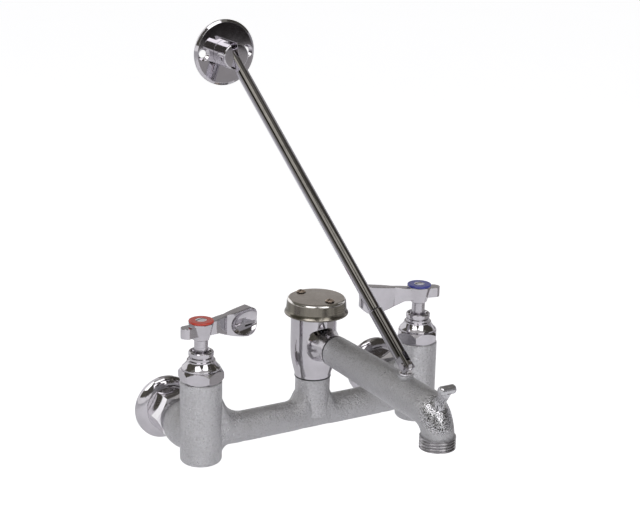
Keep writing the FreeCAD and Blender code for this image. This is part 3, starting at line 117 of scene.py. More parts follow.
class FaucetFinishes(PropertyGroup):
    """Colours of the faucet's finishes."""

    cast_tone: tone("Cast metal", "Plated sand casting", (0.515, 0.51, 0.53))
    cast_shade: tone("Cast metal hollows", "Plated sand casting in its pores", (0.36, 0.355, 0.36))
    chrome_tone: tone("Chrome", "Polished chrome plate", (0.60, 0.578, 0.612))
    chrome_shade: tone("Handled chrome", "Chrome plate under a film of handling", (0.54, 0.522, 0.55))
    # A brighter chrome tone, a painted reflection, for the union nuts and the brace's eye
    painted_bright_chrome_tone: tone("Brightened chrome", "Chrome on the union nuts and the brace's eye, brightened as painted reflection", (0.88, 0.86, 0.89))
    painted_bright_chrome_shade: tone("Handled brightened chrome", "The same plate under a film of handling", (0.79, 0.77, 0.80))
    # The bar's tones: a painted dark reflection seen squarely and a painted highlight at a glancing angle
    bar_dark_reflection_tone: tone("Brace bar", "Painted dark reflection on the polished bar, seen squarely", (0.125, 0.118, 0.108))
    bar_glancing_highlight_tone: tone("Brace bar edge", "Painted highlight on the bar at a glancing angle", (0.60, 0.58, 0.63))
    # The cap's tones: painted light on the top, painted shade on the skirt and a painted highlight on the top
    # edge
    nickel_lit_top_tone: tone("Breaker cap", "Satin nickel on the cap's top, with painted light", (0.70, 0.645, 0.605))
    nickel_shaded_skirt_tone: tone("Breaker cap shade", "Painted shade on the cap's satin nickel skirt", (0.275, 0.255, 0.215))
    nickel_rim_highlight_tone: tone("Breaker cap rim highlight", "Painted highlight on the cap's top edge", (0.93, 0.9, 0.88))
    brass_tone: tone("Brass", "Turned valve brass", (0.78, 0.56, 0.27))
    copper_tone: tone("Cap screws", "Brass screws gone coppery", (0.86, 0.68, 0.55))
    screw_tone: tone("Index screws", "Dulled plate on the levers' screws", (0.93, 0.92, 0.94))
    # Painted shade for the upright walls of the screws
    wall_shade_tone: tone("Wall shade", "Painted shade on the screws' upright walls", (0.02, 0.018, 0.016))
    rubber_tone: tone("Rubber", "Black sealing rubber", (0.018, 0.018, 0.02))
    rubber_shade: tone("Rubbed rubber", "The same rubber where it is rubbed", (0.045, 0.045, 0.048))
    hot_tone: tone("Hot ring", "Index ring of the hot side", (0.60, 0.036, 0.012))
    cold_tone: tone("Cold ring", "Index ring of the cold side", (0.036, 0.046, 0.33))
    ceramic_tone: tone("Ceramic", "Valve discs", (0.86, 0.85, 0.82))
    ceramic_shade: tone("Ceramic shade", "Valve discs where they are marked", (0.70, 0.69, 0.66))
    float_tone: tone("Float", "Moulded float and guide", (0.80, 0.79, 0.74))
    float_shade: tone("Float shade", "Float and guide where they are marked", (0.68, 0.66, 0.60))


class FaucetSizes(PropertyGroup):
    """Sizes of the threads cut in the outlet and the inlets."""

    hose_pitch: length("Hose thread pitch", "One turn of the hose thread, 11.5 to the inch", 2.209 * MM)
    hose_depth: length("Hose thread depth", "Crest to root of the hose thread", 1.1 * MM)
    pipe_pitch: length("Pipe thread pitch", "One turn of the inlet thread, 14 to the inch", 1.814 * MM)
    pipe_depth: length("Pipe thread depth", "Crest to root of the inlet thread", 0.9 * MM)
    thread_sides: IntProperty(
        name="Sides round a thread", description="Faces in one turn", default=96, min=24
    )


class FaucetStage(PropertyGroup):
    """The camera, the floor and the studio light."""

    lens: FloatProperty(name="Lens", description="Focal length", default=95.11, unit="CAMERA")
    floor_height: FloatProperty(
        name="Floor", description="Height of the floor", default=-0.13, unit="LENGTH"
    )
    floor_tone: tone("Floor", "Plain pale floor", (0.86, 0.86, 0.875))
    floor_mirrored: tone("Mirrored floor", "Its glow where the metal mirrors it", (0.16, 0.158, 0.165))
    floor_glow: tone("Floor glow", "Its glow as the camera sees it", (0.62, 0.62, 0.62))
    sky_level: FloatProperty(
        name="Room light", description="Soft light from all round", default=0.42, min=0.0
    )
    left_power: power("Left softbox", 3.2)
    front_power: power("Front softbox", 4.2)
    rim_power: power("Rim softbox", 0.35)


# Node tree helpers


def add_node(tree, kind, **values):
    """A new node with its settings."""
    node = tree.nodes.new(kind)
    for name, value in values.items():
        setattr(node, name, value)
    return node


def feed(tree, source, target):
    """Joins an output to an input."""
    tree.links.new(source, target)


def maths(tree, operation, first, second=None, third=None):
    """A Math node; each term is a number or an output."""
    node = add_node(tree, "ShaderNodeMath", operation=operation)
    for socket, term in zip(node.inputs, (first, second, third)):
        if term is None:
            continue
        if isinstance(term, (int, float)):
            socket.default_value = term
        else:
            feed(tree, term, socket)
    return node.outputs[0]


def spread(tree, value, low, high, new_low, new_high):
    """A value's range stretched to another, held at its ends."""
    node = add_node(tree, "ShaderNodeMapRange", clamp=True)
    feed(tree, value, node.inputs["Value"])
    node.inputs["From Min"].default_value = low
    node.inputs["From Max"].default_value = high
    node.inputs["To Min"].default_value = new_low
    node.inputs["To Max"].default_value = new_high
    return node.outputs["Result"]


def blend_tones(tree, share, first, second):
    """Two tones mixed by a share; each tone is a colour or an output."""
    node = add_node(tree, "ShaderNodeMix", data_type="RGBA")
    if isinstance(share, (int, float)):
        node.inputs[0].default_value = share
    else:
        feed(tree, share, node.inputs[0])
    for socket, term in ((node.inputs[6], first), (node.inputs[7], second)):
        if isinstance(term, bpy.types.NodeSocket):
            feed(tree, term, socket)
        else:
            socket.default_value = (*term, 1.0)
    return node.outputs[2]


def noise(tree, position, scale, detail=2.0, roughness=0.5, distortion=0.0):
    """A noise texture's value."""
    node = add_node(tree, "ShaderNodeTexNoise")
    feed(tree, position, node.inputs["Vector"])
    if isinstance(scale, (int, float)):
        node.inputs["Scale"].default_value = scale
    else:
        feed(tree, scale, node.inputs["Scale"])
    node.inputs["Detail"].default_value = detail
    node.inputs["Roughness"].default_value = roughness
    node.inputs["Distortion"].default_value = distortion
    return node.outputs[0]


def distance_from(tree, place, centre):
    """How far the surface is from a point."""
    node = add_node(tree, "ShaderNodeVectorMath", operation="DISTANCE")
    feed(tree, place, node.inputs[0])
    node.inputs[1].default_value = centre
    return node.outputs["Value"]


def upward(tree):
    """How far the surface faces up: 1 on top and 0 on an upright wall."""
    node = add_node(tree, "ShaderNodeSeparateXYZ")
    feed(tree, add_node(tree, "ShaderNodeTexCoord").outputs["Normal"], node.inputs[0])
    return node.outputs[2]


def seen_rays(tree, path):
    """A mask of the rays that see a surface, mirror it or pass through to it."""
    seen = maths(tree, "MAXIMUM", path.outputs["Is Camera Ray"], path.outputs["Is Glossy Ray"])
    return maths(tree, "MAXIMUM", seen, path.outputs["Is Transmission Ray"])


def new_group(name, inputs, outputs):
    """An empty shader node group with its named sockets."""
    group = bpy.data.node_groups.new(name, "ShaderNodeTree")
    for label, kind, value in inputs:
        socket = group.interface.new_socket(label, in_out="INPUT", socket_type=kind)
        if value is not None:
            socket.default_value = value
    for label, kind in outputs:
        group.interface.new_socket(label, in_out="OUTPUT", socket_type=kind)
    return group, group.nodes.new("NodeGroupInput"), group.nodes.new("NodeGroupOutput")


# Effects that several finishes share, and the mean height of the cast grain

GRAIN_MIDDLE = 1.07


def cast_grain():
    """Sand cast skin under plate: fine grains, pores and the flecks where bright glints are painted."""
    tree, start, end = new_group(
        "Cast grain",
        (("Position", "NodeSocketVector", None), ("Grains per metre", "NodeSocketFloat", 900.0)),
        (("Height", "NodeSocketFloat"), ("Pores", "NodeSocketFloat"), ("Flecks", "NodeSocketFloat")),
    )
    place = start.outputs["Position"]
    scale = start.outputs["Grains per metre"]
    grains = noise(tree, place, scale, 3.0, 0.62)
    fine = noise(tree, place, maths(tree, "MULTIPLY", scale, 2.6), 2.0, 0.6)
    broad = noise(tree, place, maths(tree, "MULTIPLY", scale, 0.22), 2.0, 0.5)
    height = maths(tree, "MULTIPLY_ADD", fine, 0.35, grains)
    height = maths(tree, "MULTIPLY_ADD", broad, 0.8, height)
    feed(tree, height, end.inputs["Height"])
    pores = spread(tree, grains, 0.30, 0.48, 1.0, 0.0)
    feed(tree, pores, end.inputs["Pores"])
    feed(tree, spread(tree, fine, 0.60, 0.72, 0.0, 1.0), end.inputs["Flecks"])
    return tree


def handling_marks():
    """Patches of film and fine smears left by hands and water."""
    tree, start, end = new_group(
        "Handling marks",
        (("Position", "NodeSocketVector", None), ("Patches per metre", "NodeSocketFloat", 70.0)),
        (("Marks", "NodeSocketFloat"),),
    )
    place = start.outputs["Position"]
    scale = start.outputs["Patches per metre"]
    patches = noise(tree, place, scale, 4.0, 0.6, 0.6)
    smears = noise(tree, place, maths(tree, "MULTIPLY", scale, 6.0), 3.0, 0.7, 1.2)
    film = maths(tree, "MULTIPLY_ADD", smears, 0.4, patches)
    feed(tree, spread(tree, film, 0.52, 0.90, 0.0, 1.0), end.inputs["Marks"])
    return tree


def turned_lines():
    """Fine tool lines round a turned piece whose axis is the position's Z."""
    tree, start, end = new_group(
        "Turned lines",
        (("Position", "NodeSocketVector", None), ("Lines per metre", "NodeSocketFloat", 3500.0)),
        (("Height", "NodeSocketFloat"), ("Sheen", "NodeSocketFloat")),
    )
    parts = add_node(tree, "ShaderNodeSeparateXYZ")
    feed(tree, start.outputs["Position"], parts.inputs[0])
    across = maths(tree, "POWER", parts.outputs[0], 2.0)
    across = maths(tree, "ADD", across, maths(tree, "POWER", parts.outputs[1], 2.0))
    along = maths(tree, "ADD", maths(tree, "SQRT", across), parts.outputs[2])
    lines = add_node(tree, "ShaderNodeTexNoise", noise_dimensions="1D")
    feed(tree, maths(tree, "MULTIPLY", along, start.outputs["Lines per metre"]), lines.inputs["W"])
    lines.inputs["Scale"].default_value = 1.0
    lines.inputs["Detail"].default_value = 2.0
    feed(tree, lines.outputs[0], end.inputs["Height"])
    feed(tree, spread(tree, lines.outputs[0], 0.35, 0.68, 0.0, 1.0), end.inputs["Sheen"])
    return tree


def polish_waves():
    """The slow waves that a buffing wheel leaves in a polished surface."""
    tree, start, end = new_group(
        "Polish waves",
        (("Position", "NodeSocketVector", None), ("Waves per metre", "NodeSocketFloat", 90.0)),
        (("Height", "NodeSocketFloat"),),
    )
    waves = noise(tree, start.outputs["Position"], start.outputs["Waves per metre"], 1.0, 0.4)
    feed(tree, waves, end.inputs["Height"])
    return tree


def rubbed_edges():
    """A mask of the edges that are rubbed bright."""
    tree, start, end = new_group(
        "Rubbed edges",
        (("Position", "NodeSocketVector", None), ("Breaks per metre", "NodeSocketFloat", 400.0)),
        (("Wear", "NodeSocketFloat"),),
    )
    shape = add_node(tree, "ShaderNodeNewGeometry")
    edge = spread(tree, shape.outputs["Pointiness"], 0.505, 0.56, 0.0, 1.0)
    breaks = noise(tree, start.outputs["Position"], start.outputs["Breaks per metre"], 3.0, 0.6)
    kept = spread(tree, breaks, 0.35, 0.6, 0.3, 1.0)
    feed(tree, maths(tree, "MULTIPLY", edge, kept), end.inputs["Wear"])
    return tree


GROUP_MAKERS = {
    "Cast grain": cast_grain,
    "Handling marks": handling_marks,
    "Turned lines": turned_lines,
    "Polish waves": polish_waves,
    "Rubbed edges": rubbed_edges,
}


def effect(tree, name, position, **values):
    """A shared effect placed in a material with its own values."""
    node = add_node(tree, "ShaderNodeGroup")
    node.node_tree = bpy.data.node_groups.get(name) or GROUP_MAKERS[name]()
    feed(tree, position, node.inputs["Position"])
    for label, value in values.items():
        node.inputs[label.replace("_", " ")].default_value = value
    return node.outputs


# Finishes


def new_finish(name, metallic, roughness):
    """A material with a Principled shader, and where its surface is."""
    material = bpy.data.materials.new(name)
    material.use_nodes = True
    tree = material.node_tree
    shader = tree.nodes["Principled BSDF"]
    shader.inputs["Metallic"].default_value = metallic
    shader.inputs["Roughness"].default_value = roughness
    place = add_node(tree, "ShaderNodeTexCoord").outputs["Object"]
    return material, tree, shader, place


def bump(tree, shader, height, distance, strength=1.0, edge=0.0):
    """A Bump node that feeds the shader's normal, with softened edges where edge is a radius."""
    node = add_node(tree, "ShaderNodeBump")
    node.inputs["Strength"].default_value = strength
    node.inputs["Distance"].default_value = distance
    feed(tree, height, node.inputs["Height"])
    if edge:
        soft = add_node(tree, "ShaderNodeBevel", samples=6)
        soft.inputs["Radius"].default_value = edge
        feed(tree, soft.outputs[0], node.inputs["Normal"])
    feed(tree, node.outputs[0], shader.inputs["Normal"])


def about_axis(tree, place, point, turn=(0.0, 0.0, 0.0)):
    """The position seen from a turned piece's own axis."""
    node = add_node(tree, "ShaderNodeMapping", vector_type="TEXTURE")
    node.inputs["Location"].default_value = point
    node.inputs["Rotation"].default_value = turn
    feed(tree, place, node.inputs["Vector"])
    return node.outputs[0]


def cast_finish(finishes, name, buffed=()):
    """Satin plate over a sand casting, buffed in places with painted glints and dark reflection specks:
    centre, reach, share of specks and of relief.
    """
    material, tree, shader, place = new_finish(name, 0.85, 0.3)
    grain = effect(tree, "Cast grain", place, Grains_per_metre=560.0)
    marks = effect(tree, "Handling marks", place, Patches_per_metre=45.0)["Marks"]
    wear = effect(tree, "Rubbed edges", place, Breaks_per_metre=500.0)["Wear"]
    pores = maths(tree, "MULTIPLY", grain["Pores"], 0.6)
    body = blend_tones(tree, pores, finishes.cast_tone, finishes.cast_shade)
    # light serves twice: painted glints on the flecks, and real wear on the rubbed edges
    light = [min(1.0, 1.8 * part) for part in finishes.cast_tone]
    # Tones for the buffed places: a painted highlight and a painted dark reflection
    bright = [min(1.0, 1.25 * part) for part in finishes.cast_tone]
    dark = [0.12 * part for part in finishes.cast_shade]
    body = blend_tones(tree, grain["Flecks"], body, light)
    body = blend_tones(tree, maths(tree, "MULTIPLY", wear, 0.4), body, light)
    body = blend_tones(tree, maths(tree, "MULTIPLY", marks, 0.18), body, finishes.cast_shade)
    rough = spread(tree, grain["Flecks"], 0.0, 1.0, 0.27, 0.15)
    rough = maths(tree, "MULTIPLY_ADD", marks, 0.05, rough)
    height = maths(tree, "SUBTRACT", grain["Height"], GRAIN_MIDDLE)
    for centre, reach, specks, relief in buffed:
        away = distance_from(tree, place, centre)
        ragged = maths(tree, "MULTIPLY_ADD", grain["Height"], 0.25 * reach, away)
        near = spread(tree, ragged, 0.95 * reach, 1.2 * reach, 1.0, 0.0)
        # Painted glints with painted dark reflection specks; the buffing itself lowers roughness and relief
        dark_speck_mask = spread(tree, noise(tree, place, 1250.0, 2.0, 0.6), 0.42, 0.53, specks, 0.0)
        painted_glint_specks = blend_tones(tree, dark_speck_mask, bright, dark)
        body = blend_tones(tree, near, body, painted_glint_specks)
        rough = maths(tree, "MULTIPLY", rough, spread(tree, near, 0.0, 1.0, 1.0, 0.35))
        height = maths(tree, "MULTIPLY", height, spread(tree, near, 0.0, 1.0, 1.0, relief))
    feed(tree, body, shader.inputs["Base Color"])
    feed(tree, rough, shader.inputs["Roughness"])
    bump(tree, shader, height, 1.15 * MM, 1.0)
    return material


def chrome_finish(
    finishes,
    name,
    point=(0.0, 0.0, 0.0),
    turn=(0.0, 0.0, 0.0),
    lines=0.0,
    edge=0.25,
    waves=(85.0, 0.14),
    satin=None,
    plate=None,
):
    """Polished plate with slow buffing waves, a film of handling and turned lines.

    satin is the centre and the reach of a duller place; plate is the clean and the filmed tone.
    """
    material, tree, shader, place = new_finish(name, 1.0, 0.06)
    marks = effect(tree, "Handling marks", place, Patches_per_metre=80.0)["Marks"]
    slow = effect(tree, "Polish waves", place, Waves_per_metre=waves[0])["Height"]
    turned = effect(tree, "Turned lines", about_axis(tree, place, point, turn), Lines_per_metre=2600.0)
    clean, filmed = plate or (finishes.chrome_tone, finishes.chrome_shade)
    feed(tree, blend_tones(tree, marks, clean, filmed), shader.inputs["Base Color"])
    rough = spread(tree, marks, 0.0, 1.0, 0.03, 0.065)
    rough = maths(tree, "MULTIPLY_ADD", turned["Sheen"], 0.12 * lines, rough)
    if satin:
        centre, reach = satin
        dull = spread(tree, distance_from(tree, place, centre), 0.8 * reach, reach, 0.2, 0.0)
        rough = maths(tree, "ADD", rough, dull)
    feed(tree, rough, shader.inputs["Roughness"])
    height = maths(tree, "MULTIPLY_ADD", turned["Height"], 0.02 * lines, slow)
    bump(tree, shader, height, waves[1] * MM, 1.0, edge * MM)
    return material


def satin_finish(
    finishes,
    name,
    first,
    second,
    point,
    turn=(0.0, 0.0, 0.0),
    rough=(0.16, 0.3),
    edge=0.25,
    metallic=1.0,
    wall_shade=0.0,
):
    """Turned metal with tool lines and a satin sheen; the last argument is the share of painted shade on its
    upright walls.
    """
    material, tree, shader, place = new_finish(name, metallic, rough[0])
    marks = effect(tree, "Handling marks", place, Patches_per_metre=110.0)["Marks"]
    turned = effect(tree, "Turned lines", about_axis(tree, place, point, turn), Lines_per_metre=3200.0)
    body = blend_tones(tree, turned["Sheen"], first, second)
    body = blend_tones(tree, maths(tree, "MULTIPLY", marks, 0.5), body, second)
    # Painted shade: upright walls, such as screw slots and the rim of a head, are darkened
    if wall_shade:
        wall_shade_mask = spread(tree, upward(tree), 0.2, 0.5, wall_shade, 0.0)
        body = blend_tones(tree, wall_shade_mask, body, finishes.wall_shade_tone)
    feed(tree, body, shader.inputs["Base Color"])
    feed(tree, spread(tree, turned["Sheen"], 0.0, 1.0, *rough), shader.inputs["Roughness"])
    bump(tree, shader, turned["Height"], 0.02 * MM, 1.0, edge * MM)
    return material


def bar_finish(finishes, name, point, turn, share=1.0):
    """Polished bar painted with a dark reflection seen squarely and a highlight at a glancing angle; share
    dims it seen squarely.
    """
    material, tree, shader, place = new_finish(name, 1.0, 0.08)
    marks = effect(tree, "Handling marks", place, Patches_per_metre=60.0)["Marks"]
    turned = effect(tree, "Turned lines", about_axis(tree, place, point, turn), Lines_per_metre=1800.0)
    # Painted dark reflection: the tone the bar shows seen squarely
    square = [share * part for part in finishes.bar_dark_reflection_tone]
    dull = [0.7 * part for part in square]
    body = blend_tones(tree, marks, square, dull)
    # Painted highlight: the bar turns light at a glancing angle
    glance = add_node(tree, "ShaderNodeLayerWeight")
    glance.inputs["Blend"].default_value = 0.5
    edge = spread(tree, glance.outputs["Facing"], 0.16, 0.42, 0.0, 1.0)
    edge = maths(tree, "MULTIPLY", edge, share)
    feed(tree, blend_tones(tree, edge, body, finishes.bar_glancing_highlight_tone), shader.inputs["Base Color"])
    feed(tree, spread(tree, marks, 0.0, 1.0, 0.05, 0.12), shader.inputs["Roughness"])
    height = maths(tree, "MULTIPLY_ADD", turned["Height"], 0.3, marks)
    bump(tree, shader, height, 0.01 * MM, 1.0, 0.2 * MM)
    return material


def cap_finish(finishes, name, point):
    """Satin nickel with painted light on the flat top, painted shade round the skirt with darker drawn
    streaks down it, and a painted highlight on the top edge.
    """
    material, tree, shader, place = new_finish(name, 1.0, 0.22)
    marks = effect(tree, "Handling marks", place, Patches_per_metre=90.0)["Marks"]
    turned = effect(tree, "Turned lines", about_axis(tree, place, point), Lines_per_metre=2400.0)
    facing = upward(tree)
    # Painted light and shade: faces that look up get the light top tone, and the skirt gets the dark tone
    up = spread(tree, facing, 0.45, 0.85, 0.0, 1.0)
    drawn = add_node(tree, "ShaderNodeMapping")
    drawn.inputs["Scale"].default_value = (1.0, 1.0, 0.04)
    feed(tree, place, drawn.inputs["Vector"])
    streaks = noise(tree, drawn.outputs[0], 210.0, 2.0, 0.5)
    darker = [0.6 * part for part in finishes.nickel_shaded_skirt_tone]
    darker_streaks = spread(tree, streaks, 0.4, 0.62, 0.0, 1.0)
    skirt = blend_tones(tree, darker_streaks, finishes.nickel_shaded_skirt_tone, darker)
    body = blend_tones(tree, up, skirt, finishes.nickel_lit_top_tone)
    body = blend_tones(tree, maths(tree, "MULTIPLY", marks, 0.25), body, finishes.nickel_shaded_skirt_tone)
    # Painted highlight on the band round the top edge, which is also made smoother
    rim = spread(tree, facing, 0.88, 0.98, 1.0, 0.0)
    rim = maths(tree, "MULTIPLY", rim, spread(tree, facing, 0.15, 0.4, 0.0, 1.0))
    rise = add_node(tree, "ShaderNodeSeparateXYZ")
    feed(tree, place, rise.inputs[0])
    rim = maths(tree, "MULTIPLY", rim, maths(tree, "GREATER_THAN", rise.outputs[2], point[2]))
    body = blend_tones(tree, maths(tree, "MULTIPLY", rim, 0.85), body, finishes.nickel_rim_highlight_tone)
    feed(tree, body, shader.inputs["Base Color"])
    rough = spread(tree, turned["Sheen"], 0.0, 1.0, 0.16, 0.27)
    rough = maths(tree, "MULTIPLY", rough, spread(tree, rim, 0.0, 1.0, 1.0, 0.6))
    feed(tree, rough, shader.inputs["Roughness"])
    bump(tree, shader, turned["Height"], 0.02 * MM, 1.0, 0.5 * MM)
    return material


def moulded_finish(name, first, second, rough=(0.42, 0.58), patches=160.0, depth=0.02, coat=0.0):
    """Rubber, plastic, ceramic or enamel: a close grain, soft blotches and rubbed edges."""
    material, tree, shader, place = new_finish(name, 0.0, rough[0])
    grain = effect(tree, "Cast grain", place, Grains_per_metre=2600.0)
    marks = effect(tree, "Handling marks", place, Patches_per_metre=patches)["Marks"]
    wear = effect(tree, "Rubbed edges", place, Breaks_per_metre=900.0)["Wear"]
    body = blend_tones(tree, maths(tree, "MULTIPLY", marks, 0.7), first, second)
    body = blend_tones(tree, maths(tree, "MULTIPLY", wear, 0.5), body, second)
    feed(tree, body, shader.inputs["Base Color"])
    feed(tree, spread(tree, marks, 0.0, 1.0, *rough), shader.inputs["Roughness"])
    shader.inputs["Coat Weight"].default_value = coat
    bump(tree, shader, grain["Height"], depth * MM)
    return material


def finish_nodes(names, material):
    """Gives each named solid the same finish."""
    for name in names:
        slots = frame["nodes"][name].data.materials
        slots.clear()
        slots.append(material)


# Shapes cut in mesh code


class Thread:
    """A helical thread between two plain rings, outside an upright spout or inside a level bore."""

    # Rows of faces in a turn, turns over which the cut fades in, and the form of the groove
    ROWS_PER_TURN = 14.0
    FADE_TURNS = 0.3
    FLANK_STEEPNESS = 1.35
    CREST_SHARE = 0.2

    def __init__(self, foot, run, crest, pitch, depth, sides, slot=0, bore=False):
        self.foot = Vector(foot)
        self.run = run
        self.crest = crest
        self.pitch = pitch
        self.depth = depth
        self.sides = sides
        self.slot = slot
        self.bore = bore

    def point(self, side, along, lean):
        """A point of the skin; lean is the share of the thread's depth that may be cut here."""
        angle = math.tau * side / self.sides
        turn = (along / self.pitch - side / self.sides) % 1.0
        flank = self.FLANK_STEEPNESS * abs(2.0 * turn - 1.0) - self.CREST_SHARE
        groove = min(1.0, max(0.0, flank))
        radius = self.crest - self.depth * groove * lean
        across, up = math.cos(angle) * radius, math.sin(angle) * radius
        if self.bore:
            return self.foot + Vector((across, -along, up))
        return self.foot + Vector((across, up, along))

    def cut(self, shape):
        """Adds the thread's skin to a mesh."""
        rows = math.ceil(self.run / (self.pitch / self.ROWS_PER_TURN))
        fade = self.FADE_TURNS * self.pitch
        rings = []
        for row in range(rows + 1):
            along = self.run * row / rows
            lean = min(1.0, along / fade, (self.run - along) / fade)
            ring = [self.point(side, along, lean) for side in range(self.sides)]
            rings.append([shape.verts.new(place) for place in ring])
        for lower, upper in zip(rings, rings[1:]):
            for side in range(self.sides):
                after = (side + 1) % self.sides
                corners = (lower[side], lower[after], upper[after], upper[side])
                face = shape.faces.new(reversed(corners) if self.bore else corners)
                face.smooth = True
                face.material_index = self.slot


def axis_of(node):
    """The middle of a solid's box, a point on its axis."""
    low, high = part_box(node)
    return tuple((a + b) / 2.0 for a, b in zip(low, high))


def hose_seat():
    """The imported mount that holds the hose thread's place, its radius and its length."""
    for mount in frame["record"]["mounts"]:
        if mount["name"] == "hose_outlet":
            return mount
    raise RuntimeError("the packed record has no hose outlet")


def mesh_from(name, shape):
    """A mesh made from a finished shape, which is then let go."""
    mesh = bpy.data.meshes.new(name)
    shape.to_mesh(mesh)
    shape.free()
    return mesh


def new_piece(name, shape, body):
    """A piece of the faucet from a finished mesh."""
    piece = bpy.data.objects.new(name, mesh_from(name, shape))
    bpy.context.scene.collection.objects.link(piece)
    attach(piece, body)
    return piece


# Operators


class FaucetStageMaker(Operator):
    """Sets up the floor, the studio light and the camera"""

    bl_idname = "faucet.make_stage"
    bl_label = "Stage"

    def execute(self, context):
        stage = context.scene.faucet_stage
        self.make_camera(context, stage)
        self.make_world(context, stage)
        self.make_floor(stage)
        self.make_cards(stage)
        self.make_lamps(stage)
        context.scene.view_settings.view_transform = "Standard"
        return {"FINISHED"}

    def link(self, name, data):
        """Puts a new thing in the scene."""
        thing = bpy.data.objects.new(name, data)
        bpy.context.scene.collection.objects.link(thing)
        return thing

    def make_camera(self, context, stage):
        """The camera at the photograph's angle."""
        data = bpy.data.cameras.new("camera")
        camera = self.link("camera", data)
        placed = Matrix((CAMERA_RIGHT, CAMERA_UP, CAMERA_BACK)).transposed().to_4x4()
        placed.translation = Vector(CAMERA_PLACE)
        camera.matrix_world = placed
        data.sensor_width = SENSOR_WIDTH
        data.lens = stage.lens
        context.scene.camera = camera

    def make_world(self, context, stage):
        """A white room that lights the faucet less than it shows."""
        world = bpy.data.worlds.new("white room")
        world.use_nodes = True
        context.scene.world = world
        tree = world.node_tree
        light = tree.nodes["Background"]
        path = add_node(tree, "ShaderNodeLightPath")
        seen = seen_rays(tree, path)
        level = (stage.sky_level,) * 3
        feed(tree, blend_tones(tree, seen, level, (1.0, 1.0, 1.0)), light.inputs["Color"])

    def make_floor(self, stage):
        """A plain pale floor that goes over into the room."""
        material, tree, shader, place = new_finish("pale floor", 0.0, 0.9)
        shade = effect(tree, "Handling marks", place, Patches_per_metre=3.0)["Marks"]
        dim = [0.99 * part for part in stage.floor_tone]
        feed(tree, blend_tones(tree, shade, stage.floor_tone, dim), shader.inputs["Base Color"])
        shader.inputs["Specular IOR Level"].default_value = 0.0
        path = add_node(tree, "ShaderNodeLightPath")
        seen = seen_rays(tree, path)
        glow = blend_tones(tree, seen, (0.0, 0.0, 0.0), stage.floor_mirrored)
        glow = blend_tones(tree, path.outputs["Is Camera Ray"], glow, stage.floor_glow)
        feed(tree, glow, shader.inputs["Emission Color"])
        shader.inputs["Emission Strength"].default_value = 1.0
        shape = bmesh.new()
        bmesh.ops.create_circle(shape, cap_ends=True, segments=64, radius=FLOOR_RADIUS)
        mesh = mesh_from("floor", shape)
        mesh.materials.append(material)
        floor = self.link("floor", mesh)
        floor.location.z = stage.floor_height

    def make_cards(self, stage):
        """Dark and grey cards round the set, which only the polished metal shows."""
        lowest = stage.floor_height + CARD_CLEARANCE
        for name, reach, turn, rise, level in CARDS:
            mesh = mesh_from(name, self.card_shape(reach, turn, rise, lowest))
            mesh.materials.append(self.card_glow(name, level))
            card = self.link(name, mesh)
            card.visible_camera = False
            card.visible_diffuse = False
            card.visible_shadow = False
            card.visible_transmission = False

    def card_shape(self, reach, turn, rise, lowest):
        """A piece of a ball round the set, drawn in where it would go under the floor."""
        centre = Vector(SET_MIDDLE)
        steps_round = max(4, round((turn[1] - turn[0]) / CARD_STEP))
        steps_up = max(2, round((rise[1] - rise[0]) / CARD_STEP))
        shape = bmesh.new()
        rows = []
        for up in range(steps_up + 1):
            lift = math.radians(rise[0] + (rise[1] - rise[0]) * up / steps_up)
            far = reach
            if math.sin(lift) * reach < lowest - centre.z:
                far = (lowest - centre.z) / math.sin(lift)
            flat = math.cos(lift) * far
            high = math.sin(lift) * far
            row = []
            for around in range(steps_round + 1):
                angle = math.radians(turn[0] + (turn[1] - turn[0]) * around / steps_round)
                spot = Vector((math.cos(angle) * flat, math.sin(angle) * flat, high))
                row.append(shape.verts.new(centre + spot))
            rows.append(row)
        for lower, upper in zip(rows, rows[1:]):
            for around in range(steps_round):
                shape.faces.new((lower[around], lower[around + 1], upper[around + 1], upper[around]))
        return shape

    def card_glow(self, name, level):
        """The clouded tone that a card shows."""
        material = bpy.data.materials.new(name)
        material.use_nodes = True
        tree = material.node_tree
        tree.nodes.remove(tree.nodes["Principled BSDF"])
        place = add_node(tree, "ShaderNodeTexCoord").outputs["Object"]
        cloud = noise(tree, place, 1.3, 2.0)
        glow = add_node(tree, "ShaderNodeEmission")
        brighter = [1.35 * part for part in level]
        darker = [0.65 * part for part in level]
        feed(tree, blend_tones(tree, cloud, darker, brighter), glow.inputs["Color"])
        feed(tree, glow.outputs[0], tree.nodes["Material Output"].inputs["Surface"])
        return material

    def make_lamps(self, stage):
        """Three softboxes: name, place, width, height and power."""
        target = Vector(LAMP_TARGET)
        lamps = (
            ("left softbox", (-0.68, -0.50, 0.98), 0.62, 0.68, stage.left_power),
            ("front softbox", (0.06, -0.98, 0.83), 0.62, 0.90, stage.front_power),
            ("rim softbox", (1.00, 0.16, 0.50), 0.24, 0.90, stage.rim_power),
        )
        for name, place, wide, high, energy in lamps:
            data = bpy.data.lights.new(name, "AREA")
            data.shape = "RECTANGLE"
            data.size = wide
            data.size_y = high
            data.energy = energy
            lamp = self.link(name, data)
            facing = (target - Vector(place)).to_track_quat("-Z", "Y")
            lamp.matrix_world = Matrix.Translation(place) @ facing.to_matrix().to_4x4()
            lamp.visible_camera = False


class FaucetCastings(Operator):
    """Gives the cast body and the spout their plated sand cast skin"""

    bl_idname = "faucet.finish_castings"
    bl_label = "Castings"

    def execute(self, context):
        finishes = context.scene.faucet_finishes
        finish_nodes(("body_casting",), cast_finish(finishes, "plated casting"))
        x, y, z = hose_seat()["pos_m"]
        # Buffed places from the hose mount, with painted glints and dark reflection specks: centre, reach,
        # share of specks and share of relief
        bend = ((x - 2.0 * MM, y - 4.5 * MM, z + 23.0 * MM), 17.0 * MM, 0.95, 0.3)
        hook = ((x, y - 10.5 * MM, z + 44.2 * MM), 9.0 * MM, 0.25, 0.1)
        finish_nodes(("spout",), cast_finish(finishes, "plated spout casting", (bend, hook)))
        return {"FINISHED"}


